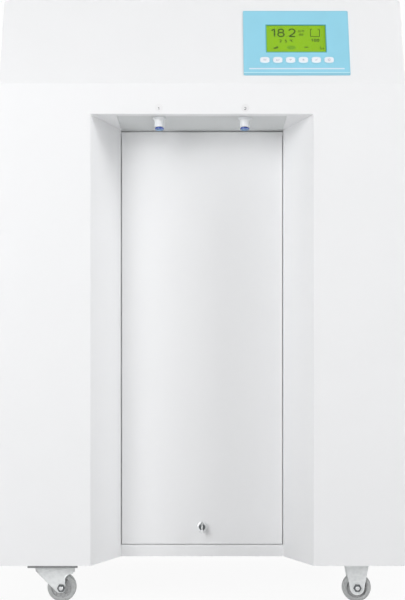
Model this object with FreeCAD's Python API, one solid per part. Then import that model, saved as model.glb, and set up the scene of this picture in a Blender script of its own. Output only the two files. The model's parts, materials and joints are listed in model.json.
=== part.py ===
import FreeCAD, Part
import math
import os

os.makedirs("parts", exist_ok=True)
Vector = FreeCAD.Vector

# Cabinet, a sheet-steel case on casters; depths are measured back from the front face
cabinet_width = 690.0
cabinet_depth = 560.0
cabinet_bottom = 70.0
crease_height = 891.0
cabinet_top = 1051.0
console_recession = 54.0
corner_radius = 8.0
sheet = 1.5
seam = 0.4
seat_gap = 0.3
overrun = 5.0
shell_depth = 80.0
bend_radius = 2.5
cover_drop = 22.0
return_width = 12.0

# Dispensing recess, open at the front and at the bottom
recess_depth = 120.0
mouth_width = 379.0
back_width = 292.0
ceiling_height = 838.0

# Outlet plate, the removable middle of the recess ceiling
plate_inset = 1.0
outlet_plate_front = 14.0
plate_flange = 18.0

# Door frame behind the recess
sill_height = 21.0
frame_depth = 24.0
stop_width = 12.0

# Access door, hung at its top corners and locked at the bottom
door_gap = 1.3
door_thickness = 16.0
pivot_inset = 6.0
pivot_pin_radius = 2.5
pivot_pin_length = 14.0
pin_head_radius = 4.5
pin_head_length = 1.5
running_gap = 0.05
bush_radius = 4.0
bush_length = 7.5
bush_flange_radius = 5.5
bush_flange = 1.0

# Cam lock with its key
lock_height = 122.7
lock_face_radius = 9.75
lock_face = 3.0
lock_dome = 1.2
lock_barrel_radius = 8.0
lock_hole_gap = 0.15
lock_nut_radius = 12.5
lock_nut = 4.0
plug_radius = 5.5
plug_proud = 0.8
cam_gap = 0.3
cam_behind_stop = 1.0
cam_thickness = 2.5
cam_length = 28.0
cam_half_width = 7.0
cam_screw_radius = 4.0
cam_screw_head = 2.5
keyway_depth = 15.0
key_thickness = 2.0
key_blade_width = 7.0
key_fit = 0.1
key_neck = 9.0
key_bow_radius = 10.0
key_hole_radius = 3.0

# Water outlets, push-fit bulkhead fittings for a 3/8 inch tube
outlet_spacing = 147.0
outlet_depth = 27.0
tube_bore_radius = 4.85
fitting_flange_radius = 11.8
fitting_flange = 2.5
fitting_body_radius = 8.5
fitting_body_drop = 16.6
fitting_stem_radius = 7.5
fitting_stem = 22.0
fitting_round = 1.0
collar_radius = 8.2
collar_flange = 2.2
collar_sleeve_radius = 6.0
collar_sleeve = 11.0
collar_gap = 0.05
collar_travel = 1.5
nut_across_flats = 22.0
nut_height = 6.0

# Outlet labels on the header
label_radius = 6.8
label_thickness = 0.3
label_height = 849.0

# Control panel on the leaning console
panel_centre = 162.0
panel_rise = 15.0
panel_width = 182.0
panel_height = 130.0
panel_thickness = 1.2
panel_corner = 2.0
display_width = 102.0
display_height = 54.0
display_left = 40.0
display_rise = 46.5
window_gap = 0.2
window_corner = 1.0
bezel_width = 3.0
board_drop = 12.0
board_thickness = 1.6
board_margin = 8.0
post_radius = 3.0
post_inset = 5.0
key_count = 6
key_pitch = 22.0
key_first = 36.5
key_rise = 30.0
key_width = 17.0
key_height = 12.5
key_corner_share = 0.48
key_gap = 0.3
key_proud = 1.0
key_chamfer = 0.6
key_lip = 1.4
key_flange = 1.0
key_stem_radius = 3.0
key_travel = 0.8
key_slack = 0.1
switch_side = 6.0
switch_height = 4.0

# Base tray and the mounting plate that stands on it
tray_sheet = 2.0
mounting_depth = 330.0
mounting_top = 1000.0
mounting_flange = 20.0

# Casters
wheel_radius = 25.0
wheel_width = 20.0
wheel_round = 4.0
wheel_recess = 3.0
wheel_rim = 7.0
hub_radius = 9.0
hub_width = 23.4
axle_radius = 4.0
axle_head_flats = 13.0
axle_head = 5.0
caster_inset = 60.0
fork_sheet = 2.0
fork_clear = 0.3
swivel_inset = 88.0
swivel_trail = 12.0
swivel_plate_length = 86.0
swivel_plate_width = 78.0
caster_plate = 2.5
plate_lip = 4.3
race_radius = 25.0
race_height = 5.0
crown_half = 33.0
crown_disc_radius = 27.0
crown_thickness = 2.5
leg_shoulder = 10.5
leg_boss_radius = 8.5
leg_cut_angle = 50.0
kingpin_radius = 5.0
kingpin_head_radius = 9.0
kingpin_head = 3.0
rigid_inset = 75.0
rigid_plate_length = 44.0
rigid_plate_width = 80.0
rigid_top_width = 42.0
rigid_boss_radius = 12.7
bolt_hole_radius = 3.2
bolt_hole_inset = 8.0

# Purification columns on the mounting plate
column_count = 3
column_pitch = 92.0
column_radius = 36.0
column_bottom = 480.0
column_length = 300.0
column_cap_radius = 40.0
column_cap = 24.0
column_nipple_radius = 7.0
column_nipple = 14.0
column_standoff = 48.0
clip_thickness = 3.0
clip_height = 22.0
clip_end_share = 0.2

# Pre-filters below them
prefilter_spacing = 136.0
prefilter_standoff = 68.0
prefilter_head_radius = 57.0
head_height = 44.0
prefilter_head_top = 436.0
prefilter_back_width = 60.0
prefilter_port_radius = 14.0
prefilter_port = 64.0
bowl_radius = 50.0
bowl_wall = 4.0
bowl_length = 250.0
bowl_collar_radius = 56.0
bowl_collar = 22.0
bowl_fillet = 12.0

# Vessels in the side bays
vessel_cap_extra = 3.0
vessel_cap = 20.0
vessel_gap = 15.8
membrane_length = 400.0
membrane_bottom = 430.0
uv_slimmer = 6.5
uv_length = 330.0
uv_bottom = 500.0
ultrafilter_slimmer = 8.0
ultrafilter_length = 300.0
ultrafilter_bottom = 515.0
vessel_back_gap = 9.0
vessel_port_radius = 6.0
vessel_port = 12.0

# Behind the mounting plate
tank_clear = 18.2
tank_height = 320.0
tank_side_clear = 43.5
tank_shoulder = 40.0
tank_foot_share = 0.74
tank_shoulder_share = 0.79
tank_foot = 14.0
tank_neck_radius = 11.0
tank_neck = 22.0
pump_x = 110.0
pump_motor_radius = 45.0
pump_motor_length = 120.0
pump_head_side = 96.0
pump_head_length = 50.0
pump_base_width = 80.0
pump_base_thickness = 4.0
pump_lift = 14.0
pump_port_radius = 8.0
pump_port = 16.0
supply_side_clear = 33.5
supply_z = 700.0
supply_width = 200.0
supply_height = 110.0
supply_depth = 50.0
supply_round = 2.0
valve_length = 42.0
valve_width = 26.0
valve_height = 18.0
valve_coil_radius = 14.0
valve_coil = 34.0
valve_depth = 82.0

# Rear panel fittings
screw_radius = 2.0
screw_gap = 0.1
screw_head_radius = 4.0
screw_head = 2.4
screw_length = 10.0
screw_rows = 4
screw_margin = 80.0
vent_count = 7
vent_length = 120.0
vent_height = 6.0
vent_pitch = 18.0
vent_z = 560.0
vent_inset = 195.0
port_count = 3
port_pitch = 60.0
port_inset = 105.0
port_z = 190.0
port_flange_radius = 13.0
port_flange = 3.0
port_body_radius = 9.5
port_body = 14.0
port_stem_radius = 8.5
port_stem = 16.0
port_socket = 12.0
inlet_inset = 125.0
inlet_z = 190.0
inlet_width = 50.0
inlet_flange_width = 76.0
inlet_flange_height = 60.0
inlet_flange = 3.0
inlet_body = 30.0
inlet_well_width = 25.0
inlet_well_height = 17.0
inlet_well = 15.0
inlet_offset = 11.0
blade_width = 2.0
blade_height = 4.0
blade_length = 11.0
blade_pitch = 7.0
rocker_width = 18.0
rocker_height = 13.0
rocker_gap = 0.8
rocker_foot_share = 0.6
rocker_tilt = 10.0
rocker_depth = 9.0
rocker_proud = 3.0

# Tubes between the vessels
tube_radius = 4.75
tube_loop_rise = 24.0
tube_bend = 16.0

# Values that follow from the sizes above
half_width = cabinet_width / 2
mouth_half = mouth_width / 2
back_half = back_width / 2
rear_reach = port_flange + port_body
front_y = -(cabinet_depth + rear_reach + label_thickness) / 2 + label_thickness
lean = math.atan2(console_recession, cabinet_top - crease_height)
splay_wall = sheet * math.hypot(recess_depth, mouth_half - back_half) / recess_depth
stop_depth = recess_depth + frame_depth
plate_half_width = back_half - plate_inset
door_half = back_half - door_gap
door_bottom = cabinet_bottom + sill_height + door_gap
door_top = ceiling_height - door_gap
pivot_depth = recess_depth + pivot_inset
pivot_height = door_top - pivot_inset
cam_front = stop_depth + sheet + cam_behind_stop
outlet_places = (-outlet_spacing / 2, outlet_spacing / 2)
tray_top = cabinet_bottom + tray_sheet
tray_upstand = sill_height - sheet - tray_sheet - seat_gap
inside_half = half_width - sheet
panel_top = cabinet_top - cover_drop - seam
rear_skin = cabinet_depth - sheet
caster_front = caster_inset
caster_rear = cabinet_depth - caster_inset
swivel_x = swivel_inset - half_width
rigid_x = half_width - rigid_inset
port_x = port_inset - half_width
inlet_x = half_width - inlet_inset
vent_places = (vent_inset - half_width, half_width - vent_inset)
column_places = [(i - (column_count - 1) / 2) * column_pitch for i in range(column_count)]
column_depth = mounting_depth - column_standoff
column_edge = column_places[-1] + column_cap_radius
membrane_radius = (inside_half - column_edge - 3 * vessel_gap) / 4 - vessel_cap_extra
vessel_standoff = membrane_radius + vessel_cap_extra + vessel_back_gap
uv_radius = membrane_radius - uv_slimmer
ultrafilter_radius = membrane_radius - ultrafilter_slimmer
inner_place = column_edge + vessel_gap + membrane_radius + vessel_cap_extra
outer_place = inside_half - vessel_gap - membrane_radius - vessel_cap_extra
prefilter_places = (-prefilter_spacing / 2, prefilter_spacing / 2)
prefilter_depth = mounting_depth - prefilter_standoff
rear_middle = (mounting_depth + tray_sheet + rear_skin) / 2
tank_radius = rear_skin - rear_middle - tank_clear
tank_x = tank_side_clear + tank_radius - inside_half
supply_x = inside_half - supply_side_clear - supply_width / 2


aligned = math.cos(math.radians(1))


# Drawing helpers
def at(x, depth, z):
    return Vector(x, front_y + depth, z)


def block(x0, x1, depth0, depth1, z0, z1):
    return Part.makeBox(x1 - x0, depth1 - depth0, z1 - z0, at(x0, depth0, z0))


def prism(points, travel):
    outline = Part.makePolygon(points + [points[0]])
    return Part.Face(outline).extrude(travel)


def plan(pairs, z0, z1):
    """Outline of (x, depth) pairs, raised from z0 to z1."""
    return prism([at(x, depth, z0) for x, depth in pairs], Vector(0, 0, z1 - z0))


def elevation(pairs, depth0, depth1):
    """Outline of (x, z) pairs, carried back from depth0 to depth1."""
    return prism([at(x, depth0, z) for x, z in pairs], Vector(0, depth1 - depth0, 0))


def rod(radius, start, end):
    return Part.makeCylinder(radius, (end - start).Length, start, end - start)


def turned(pairs, base, axis):
    """Outline of (radius, height) pairs, turned about an axis through base."""
    outline = Part.makePolygon([Vector(r, 0, h) for r, h in pairs + [pairs[0]]])
    solid = Part.Face(outline).revolve(Vector(0, 0, 0), Vector(0, 0, 1), 360)
    solid.Placement = FreeCAD.Placement(base, FreeCAD.Rotation(Vector(0, 0, 1), axis))
    return solid


def hexagon(flats, height, base, axis):
    """Hexagonal prism, its size across flats, standing on base along an axis."""
    corner = flats / math.sqrt(3)
    angles = [math.radians(60 * i) for i in range(6)]
    points = [Vector(corner * math.cos(a), corner * math.sin(a), 0) for a in angles]
    solid = prism(points, Vector(0, 0, height))
    solid.Placement = FreeCAD.Placement(base, FreeCAD.Rotation(Vector(0, 0, 1), axis))
    return solid


def rounded_slab(width, height, corner, thickness, centre):
    """Slab with rounded corners, lying in a local XY plane and rising along Z from its centre."""
    corner_base = centre - Vector(width / 2, height / 2, 0)
    slab = Part.makeBox(width, height, thickness, corner_base)
    return soften(slab, corner, lambda edge: direction(edge).z > aligned)


def direction(edge):
    """Unit direction of a straight edge, each part taken positive."""
    tangent = edge.tangentAt(edge.FirstParameter)
    return Vector(abs(tangent.x), abs(tangent.y), abs(tangent.z))


def soften(shape, radius, chosen):
    edges = [edge for edge in shape.Edges if chosen(edge)]
    return shape.makeFillet(radius, edges)


def near(value, target):
    return abs(value - target) < sheet / 4


def middle(edge):
    """Middle of an edge as (x, depth, z)."""
    point = edge.CenterOfMass
    return Vector(point.x, point.y - front_y, point.z)


def joined(shapes):
    whole = shapes[0]
    for shape in shapes[1:]:
        whole = whole.fuse(shape)
    return whole.removeSplitter()


def save(name, *shapes):
    shape = shapes[0] if len(shapes) == 1 else Part.makeCompound(list(shapes))
    shape.exportStep("parts/" + name + ".step")


def on_console(shape):
    """Moves a shape from the console's own plane, X across, Y up the slope and Z out of it."""
    turn = FreeCAD.Rotation(Vector(1, 0, 0), 90 - math.degrees(lean))
    shape.Placement = FreeCAD.Placement(at(0, 0, crease_height), turn).multiply(shape.Placement)
    return shape


# The recess, as a wedge that widens towards the front
def recess_half(depth):
    return mouth_half + (back_half - mouth_half) * depth / recess_depth


def recess_wedge(margin, front, rear, low, high):
    near_half = recess_half(front) + margin
    far_half = recess_half(rear) + margin
    outline = [(-near_half, front), (near_half, front), (far_half, rear), (-far_half, rear)]
    return plan(outline, low, high)


# Casing
def envelope(inset, front, rear, low):
    """Cabinet outline with its rounded top corners, between two depths."""
    half = half_width - inset
    top = cabinet_top - inset
    body = block(-half, half, front, rear, low, top)
    return soften(body, corner_radius - inset,
                  lambda edge: direction(edge).y > aligned and near(middle(edge).z, top))


def console_side(inset, low):
    """Side outline of the front, vertical up to the crease and leaning back above it."""
    slope_shift = inset / math.cos(lean)
    crease = crease_height - inset * math.tan(lean / 2)
    top = cabinet_top - inset
    top_depth = slope_shift + (top - crease_height) * math.tan(lean)
    rear = shell_depth + overrun
    pairs = [(inset, low), (inset, crease), (top_depth, top), (rear, top), (rear, low)]
    points = [at(-cabinet_width, depth, z) for depth, z in pairs]
    return prism(points, Vector(2 * cabinet_width, 0, 0))


def console_openings():
    """Window and keypad cut-outs in the console sheet, and the board's posts."""
    width = display_width + 2 * bezel_width
    height = display_height + 2 * bezel_width
    depth = sheet + 2 * overrun
    window = rounded_slab(width, height, window_corner, depth, display_centre(-sheet - overrun))
    pad_width = (key_count - 1) * key_pitch + key_width + 2 * bezel_width
    pad_height = key_height + 2 * bezel_width
    pad = rounded_slab(pad_width, pad_height, window_corner, depth, keypad_centre(-sheet - overrun))
    return on_console(window), on_console(pad)


def panel_left():
    return panel_centre - panel_width / 2


def display_centre(lift):
    x = panel_left() + display_left + display_width / 2
    return Vector(x, panel_rise + display_rise + display_height / 2, lift)


def keypad_centre(lift):
    x = panel_left() + key_first + (key_count - 1) * key_pitch / 2
    return Vector(x, panel_rise + key_rise, lift)


def key_centre(index, lift):
    return Vector(panel_left() + key_first + index * key_pitch, panel_rise + key_rise, lift)


def board_posts(radius, bottom, top):
    half_x = panel_width / 2 - board_margin - post_inset
    half_y = panel_height / 2 - board_margin - post_inset
    centre = Vector(panel_centre, panel_rise + panel_height / 2, 0)
    posts = []
    for sign_x in (-1, 1):
        for sign_y in (-1, 1):
            foot = centre + Vector(sign_x * half_x, sign_y * half_y, bottom)
            posts.append(on_console(Part.makeCylinder(radius, top - bottom, foot)))
    return posts


def front_shell():
    low = cabinet_bottom
    outer = envelope(0, 0, shell_depth, low).common(console_side(0, low))
    hollow = envelope(sheet, -overrun, shell_depth + overrun, low - overrun)
    hollow = hollow.common(console_side(sheet, low - overrun))
    walls = recess_wedge(splay_wall, 0, recess_depth, low, ceiling_height + sheet)
    mouth = recess_wedge(0, -overrun, recess_depth + overrun, low - overrun, ceiling_height)
    plate_half = plate_half_width + seam
    hatch = block(-plate_half, plate_half, outlet_plate_front, recess_depth + overrun,
                  ceiling_height - overrun, ceiling_height + sheet + overrun)
    shell = outer.cut(hollow).fuse(walls).cut(mouth).cut(hatch).removeSplitter()
    shell = soften(shell, bend_radius, on_front_bend)
    for opening in console_openings():
        shell = shell.cut(opening)
    return joined([shell] + board_posts(post_radius, -board_drop, -sheet / 2))


def on_front_bend(edge):
    """True for the sheet's outer bends round the mouth of the recess."""
    spot = middle(edge)
    along = direction(edge)
    upright = along.z > aligned and near(abs(spot.x), mouth_half)
    level = along.x > aligned and near(spot.z, ceiling_height)
    return near(spot.y, 0) and (upright or level)


def side_panel(side):
    """Flat side with its edges returned inwards above the tray."""
    front = shell_depth + seam
    rear = rear_skin - seam
    skin = block(inside_half, half_width, front, rear, cabinet_bottom, panel_top)
    low = tray_top + tray_upstand
    rim = block(half_width - return_width, half_width, front, rear, low, panel_top)
    hollow = block(half_width - 2 * return_width, inside_half, front + sheet, rear - sheet,
                   low + sheet, panel_top - sheet)
    panel = skin.fuse(rim.cut(hollow)).removeSplitter()
    for height in screw_heights():
        panel = panel.cut(screw_hole(screw_x(), height, rear - return_width, rear + overrun))
    return panel if side > 0 else panel.mirror(Vector(0, 0, 0), Vector(1, 0, 0))


def top_cover():
    front = shell_depth + seam
    low = cabinet_top - cover_drop
    outer = envelope(0, front, cabinet_depth, low)
    inner = envelope(sheet, front - overrun, rear_skin, low - overrun)
    return outer.cut(inner)


def screw_heights():
    span = panel_top - cabinet_bottom - 2 * screw_margin
    return [cabinet_bottom + screw_margin + span * i / (screw_rows - 1) for i in range(screw_rows)]


def screw_x():
    return half_width - return_width / 2 - sheet / 2


def screw_hole(x, z, front, rear):
    return rod(screw_radius + screw_gap, at(x, front, z), at(x, rear, z))


def slot(length, height, x, z, front, rear):
    """Level slot with round ends, cut through from front to rear."""
    straight = length / 2 - height / 2
    bar = block(x - straight, x + straight, front, rear, z - height / 2, z + height / 2)
    ends = [rod(height / 2, at(x + s * straight, front, z), at(x + s * straight, rear, z)) for s in (-1, 1)]
    return joined([bar] + ends)


def port_places():
    return [port_x + i * port_pitch for i in range(port_count)]


def rear_panel():
    panel = block(-half_width, half_width, rear_skin, cabinet_depth, cabinet_bottom, panel_top)
    front = rear_skin - overrun
    rear = cabinet_depth + overrun
    cuts = []
    for x in vent_places:
        for row in range(vent_count):
            cuts.append(slot(vent_length, vent_height, x, vent_z + row * vent_pitch, front, rear))
    for x in port_places():
        cuts.append(rod(port_stem_radius + seat_gap, at(x, front, port_z), at(x, rear, port_z)))
    half_x = inlet_width / 2 + seat_gap
    half_z = inlet_flange_height / 2 - bezel_width
    cuts.append(block(inlet_x - half_x, inlet_x + half_x, front, rear, inlet_z - half_z, inlet_z + half_z))
    for height in screw_heights():
        cuts.append(screw_hole(screw_x(), height, front, rear))
        cuts.append(screw_hole(-screw_x(), height, front, rear))
    return panel.cut(Part.makeCompound(cuts))


def panel_screws():
    screws = []
    for height in screw_heights():
        for x in (-screw_x(), screw_x()):
            seat = at(x, cabinet_depth, height)
            head = rod(screw_head_radius, seat, at(x, cabinet_depth + screw_head, height))
            shank = rod(screw_radius, at(x, cabinet_depth - screw_length, height), seat)
            screws.append(head.fuse(shank))
    return screws


def base_tray():
    """Floor tray with an upstand all round, notched for the recess."""
    half = inside_half - seat_gap
    front = sheet + seat_gap
    notch = recess_depth + sheet + seat_gap
    rear = rear_skin - seat_gap
    margin = splay_wall + 2 * seat_gap
    outline = [(-half, front), (-recess_half(front) - margin, front), (-recess_half(notch) - margin, notch),
               (recess_half(notch) + margin, notch), (recess_half(front) + margin, front),
               (half, front), (half, rear), (-half, rear)]
    points = [at(x, depth, cabinet_bottom) for x, depth in outline]
    edge = Part.makePolygon(points + [points[0]])
    inner = edge.makeOffset2D(-tray_sheet, 2)
    block_out = Part.Face(edge).extrude(Vector(0, 0, tray_sheet + tray_upstand))
    hollow = Part.Face(inner).extrude(Vector(0, 0, tray_upstand + overrun))
    hollow.translate(Vector(0, 0, tray_sheet))
    tray = block_out.cut(hollow)
    holes = [rod(bolt_hole_radius, spot, spot + Vector(0, 0, tray_sheet + 2 * overrun))
             for spot in caster_bolt_spots(cabinet_bottom - overrun)]
    return tray.cut(Part.makeCompound(holes))


def mounting_plate():
    """Upright plate with a foot flange, held between the side panels."""
    half = inside_half - return_width
    upright = block(-half, half, mounting_depth, mounting_depth + tray_sheet, tray_top, mounting_top)
    foot = block(-half, half, mounting_depth, mounting_depth + mounting_flange, tray_top, tray_top + tray_sheet)
    return upright.fuse(foot).removeSplitter()


def outlet_plate():
    """Flat plate with its long edges turned up, carrying the outlets."""
    half = plate_half_width
    front = outlet_plate_front + seam
    rear = recess_depth - seam
    top = ceiling_height + plate_flange
    plate = block(-half, half, front, rear, ceiling_height, top)
    hollow = block(-half - overrun, half + overrun, front + sheet, rear - sheet,
                   ceiling_height + sheet, top + overrun)
    plate = plate.cut(hollow)
    for x in outlet_places:
        low = at(x, outlet_depth, ceiling_height - overrun)
        plate = plate.cut(rod(fitting_stem_radius + lock_hole_gap, low, low + Vector(0, 0, 2 * overrun)))
    return plate


def door_frame():
    """Ring round the door with a stop behind it, and the sill strip below."""
    outer = back_half + sheet
    low = cabinet_bottom + sill_height
    ring = block(-outer, outer, recess_depth, stop_depth + sheet, low - sheet, ceiling_height + sheet)
    way = block(-back_half, back_half, recess_depth - overrun, stop_depth, low, ceiling_height)
    stop_half = back_half - stop_width
    through = block(-stop_half, stop_half, stop_depth - overrun, stop_depth + 2 * overrun,
                    low + stop_width, ceiling_height - stop_width)
    sill = block(-outer, outer, recess_depth, recess_depth + sheet, cabinet_bottom, low)
    frame = ring.cut(way).cut(through).fuse(sill).removeSplitter()
    for side in (-1, 1):
        frame = frame.cut(pivot_rod(pivot_pin_radius + running_gap, side, back_half - overrun, outer + overrun))
    return frame


def pivot_rod(radius, side, start, end):
    """Cylinder on the door's pivot line, from start to end out from the middle."""
    return rod(radius, at(side * start, pivot_depth, pivot_height), at(side * end, pivot_depth, pivot_height))


# Access door
def door_pan_block(inset, rear):
    half = door_half - inset
    front = recess_depth + inset
    body = block(-half, half, front, rear, door_bottom + inset, door_top - inset)
    return soften(body, pivot_inset - inset,
                  lambda edge: direction(edge).x > aligned and near(middle(edge).y, front)
                  and near(middle(edge).z, door_top - inset))


def access_door():
    rear = recess_depth + door_thickness
    door = door_pan_block(0, rear).cut(door_pan_block(sheet, rear + overrun))
    hole = lock_hole_gap + lock_barrel_radius
    door = door.cut(lock_rod(hole, recess_depth - overrun, recess_depth + 2 * overrun))
    for side in (-1, 1):
        door = door.cut(pivot_rod(bush_radius, side, door_half - overrun, door_half + overrun))
    return door


def pivot_pin(side):
    inner = back_half + sheet
    shank = pivot_rod(pivot_pin_radius, side, inner - pivot_pin_length, inner)
    head = pivot_rod(pin_head_radius, side, inner, inner + pin_head_length)
    return shank.fuse(head)


def pivot_bush(side):
    barrel = pivot_rod(bush_radius, side, door_half - bush_length, door_half)
    flange = pivot_rod(bush_flange_radius, side, door_half, door_half + bush_flange)
    bore = pivot_rod(pivot_pin_radius + running_gap, side, door_half - 2 * bush_length, door_half + overrun)
    return barrel.fuse(flange).cut(bore)


def lock_rod(radius, front, rear):
    return rod(radius, at(0, front, lock_height), at(0, rear, lock_height))


def lock_housing():
    front = recess_depth - lock_face
    rear = cam_front - cam_gap
    edge = lock_face_radius - lock_dome
    bore = plug_radius + running_gap
    profile = [(bore, 0), (edge, 0), (lock_face_radius, lock_dome), (lock_face_radius, lock_face),
               (lock_barrel_radius, lock_face), (lock_barrel_radius, rear - front), (bore, rear - front)]
    return turned(profile, at(0, front, lock_height), Vector(0, 1, 0))


def lock_nut_ring():
    front = recess_depth + sheet
    nut = hexagon(2 * lock_nut_radius, lock_nut, at(0, front, lock_height), Vector(0, 1, 0))
    return nut.cut(lock_rod(lock_barrel_radius, front - overrun, front + lock_nut + overrun))


def keyway(grow, front, rear):
    half_x = key_thickness / 2 + grow
    half_z = key_blade_width / 2 + grow
    return block(-half_x, half_x, front, rear, lock_height - half_z, lock_height + half_z)


def lock_plug():
    front = recess_depth - lock_face - plug_proud
    body = lock_rod(plug_radius, front, cam_front)
    screw = lock_rod(cam_screw_radius, cam_front + cam_thickness, cam_front + cam_thickness + cam_screw_head)
    spindle = lock_rod(plug_radius / 2, cam_front, cam_front + cam_thickness)
    return joined([body, spindle, screw]).cut(keyway(key_fit, front - overrun, front + keyway_depth))


def lock_cam():
    """Flat cam with a round end, lying level until the key is turned."""
    rear = cam_front + cam_thickness
    bar = block(0, cam_length - cam_half_width, cam_front, rear,
                lock_height - cam_half_width, lock_height + cam_half_width)
    hub = lock_rod(cam_half_width, cam_front, rear)
    tip_x = cam_length - cam_half_width
    tip = rod(cam_half_width, at(tip_x, cam_front, lock_height), at(tip_x, rear, lock_height))
    cam = joined([bar, hub, tip])
    return cam.cut(lock_rod(plug_radius / 2, cam_front - overrun, rear + overrun))


def lock_key():
    front = recess_depth - lock_face - plug_proud
    blade = keyway(0, front - key_neck, front + keyway_depth - 2 * key_fit)
    bow_depth = front - key_neck - key_bow_radius / 2
    half = key_thickness / 2
    bow = rod(key_bow_radius, at(-half, bow_depth, lock_height), at(half, bow_depth, lock_height))
    hole_depth = bow_depth - key_bow_radius / 2
    hole = rod(key_hole_radius, at(-overrun, hole_depth, lock_height), at(overrun, hole_depth, lock_height))
    return joined([blade, bow]).cut(hole)


# Water outlets
def outlet_fitting(x):
    """Bulkhead fitting, its socket opening downwards for the release collar."""
    sleeve = collar_sleeve_radius + collar_gap
    drop = fitting_body_drop
    floor = drop - collar_sleeve - collar_travel - seat_gap
    stem_top = -fitting_stem
    profile = [(sleeve, drop), (fitting_body_radius - fitting_round, drop),
               (fitting_body_radius, drop - fitting_round), (fitting_body_radius, fitting_flange),
               (fitting_flange_radius - fitting_round, fitting_flange),
               (fitting_flange_radius, fitting_flange - fitting_round), (fitting_flange_radius, 0),
               (fitting_stem_radius, 0), (fitting_stem_radius, stem_top), (tube_bore_radius, stem_top),
               (tube_bore_radius, floor), (sleeve, floor)]
    return turned(profile, at(x, outlet_depth, ceiling_height), Vector(0, 0, -1))


def release_collar(x):
    """Collar that is pressed up to let the tube go."""
    rim = fitting_body_drop + collar_travel
    low = rim + collar_flange
    profile = [(tube_bore_radius, rim - collar_sleeve), (collar_sleeve_radius, rim - collar_sleeve),
               (collar_sleeve_radius, rim), (collar_radius, rim),
               (collar_radius, low - fitting_round), (collar_radius - fitting_round, low),
               (tube_bore_radius, low)]
    return turned(profile, at(x, outlet_depth, ceiling_height), Vector(0, 0, -1))


def outlet_nut(x):
    base = at(x, outlet_depth, ceiling_height + sheet)
    nut = hexagon(nut_across_flats, nut_height, base, Vector(0, 0, 1))
    low = base - Vector(0, 0, overrun)
    high = base + Vector(0, 0, nut_height + overrun)
    return nut.cut(rod(fitting_stem_radius, low, high))


def outlet_label(x):
    return rod(label_radius, at(x, -label_thickness, label_height), at(x, 0, label_height))


# Control panel
def key_outline(grow, lift, thickness, index):
    corner = key_height * key_corner_share + grow
    return rounded_slab(key_width + 2 * grow, key_height + 2 * grow, corner, thickness, key_centre(index, lift))


def control_overlay():
    centre = Vector(panel_centre, panel_rise + panel_height / 2, 0)
    slab = rounded_slab(panel_width, panel_height, panel_corner, panel_thickness, centre)
    window = rounded_slab(display_width, display_height, window_corner,
                          panel_thickness + 2 * overrun, display_centre(-overrun))
    slab = slab.cut(window)
    for index in range(key_count):
        slab = slab.cut(key_outline(key_gap, -overrun, panel_thickness + 2 * overrun, index))
    return on_console(slab)


def display_window():
    width = display_width - 2 * window_gap
    height = display_height - 2 * window_gap
    return on_console(rounded_slab(width, height, window_corner, panel_thickness, display_centre(0)))


def display_module():
    """Liquid-crystal module that stands on the board and fills the cut-out."""
    width = display_width + 2 * bezel_width - 2 * seam
    height = display_height + 2 * bezel_width - 2 * seam
    body = rounded_slab(width, height, window_corner, board_drop - seat_gap, display_centre(-board_drop))
    return on_console(body)


def control_board():
    """Board with one small switch under each key."""
    width = panel_width - 2 * board_margin
    height = panel_height - 2 * board_margin
    centre = Vector(panel_centre, panel_rise + panel_height / 2, -board_drop - board_thickness)
    board = rounded_slab(width, height, panel_corner, board_thickness, centre)
    switches = [rounded_slab(switch_side, switch_side, window_corner, switch_height, key_centre(i, -board_drop))
                for i in range(key_count)]
    return on_console(joined([board] + switches))


def panel_key(index):
    """Key cap with a lip under the overlay and a stem down to its switch."""
    lip = key_outline(key_lip, -key_flange - key_slack, key_flange, index)
    cap = key_outline(0, -key_slack - key_flange, panel_thickness + key_proud + key_slack + key_flange, index)
    top = panel_thickness + key_proud
    rim = [edge for edge in cap.Edges if near(edge.CenterOfMass.z, top)]
    cap = cap.makeChamfer(key_chamfer, rim)
    foot = switch_height - board_drop + key_travel + key_slack
    stem = Part.makeCylinder(key_stem_radius, -key_flange - foot, key_centre(index, foot))
    return on_console(joined([lip, cap, stem]))


# Casters
def caster_wheel(x, depth):
    """Wheel with a rounded tread, dished sides and a hub that spaces the legs."""
    half = wheel_width / 2
    hub = hub_width / 2
    bore = axle_radius + running_gap
    rim = wheel_radius - wheel_rim
    dish = half - wheel_recess
    shoulder = wheel_radius - wheel_round
    profile = [(bore, -hub), (hub_radius, -hub), (hub_radius, -dish), (rim, -dish), (rim, -half),
               (shoulder, -half), (wheel_radius, wheel_round - half), (wheel_radius, half - wheel_round),
               (shoulder, half), (rim, half), (rim, dish), (hub_radius, dish), (hub_radius, hub), (bore, hub)]
    return turned(profile, at(x, depth, wheel_radius), Vector(0, 1, 0))


def leg_span():
    """Half width over the outside of a fork's legs."""
    return hub_width / 2 + fork_clear + fork_sheet


def caster_axle(x, depth):
    """Axle bolt with its head and nut against the legs."""
    half = leg_span()
    shaft = rod(axle_radius, at(x, depth - half, wheel_radius), at(x, depth + half, wheel_radius))
    head = hexagon(axle_head_flats, axle_head, at(x, depth - half, wheel_radius), Vector(0, -1, 0))
    nut = hexagon(axle_head_flats, axle_head, at(x, depth + half, wheel_radius), Vector(0, 1, 0))
    return joined([shaft, head, nut])


def straddle(side_outline, boss_x, boss_radius, depth, top, crown):
    """Channel of two legs under a crown, from one side outline and its round end."""
    half = leg_span()
    legs = elevation(side_outline, depth - half, depth + half)
    boss = rod(boss_radius, at(boss_x, depth - half, wheel_radius), at(boss_x, depth + half, wheel_radius))
    solid = legs.fuse(boss).removeSplitter()
    gap = half - fork_sheet
    solid = solid.cut(block(-cabinet_width, cabinet_width, depth - gap, depth + gap, 0, top - crown))
    bore = rod(axle_radius, at(boss_x, depth - 2 * half, wheel_radius),
               at(boss_x, depth + 2 * half, wheel_radius))
    return solid.cut(bore)


def fork_top():
    return cabinet_bottom - caster_plate - race_height - fork_clear


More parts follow.
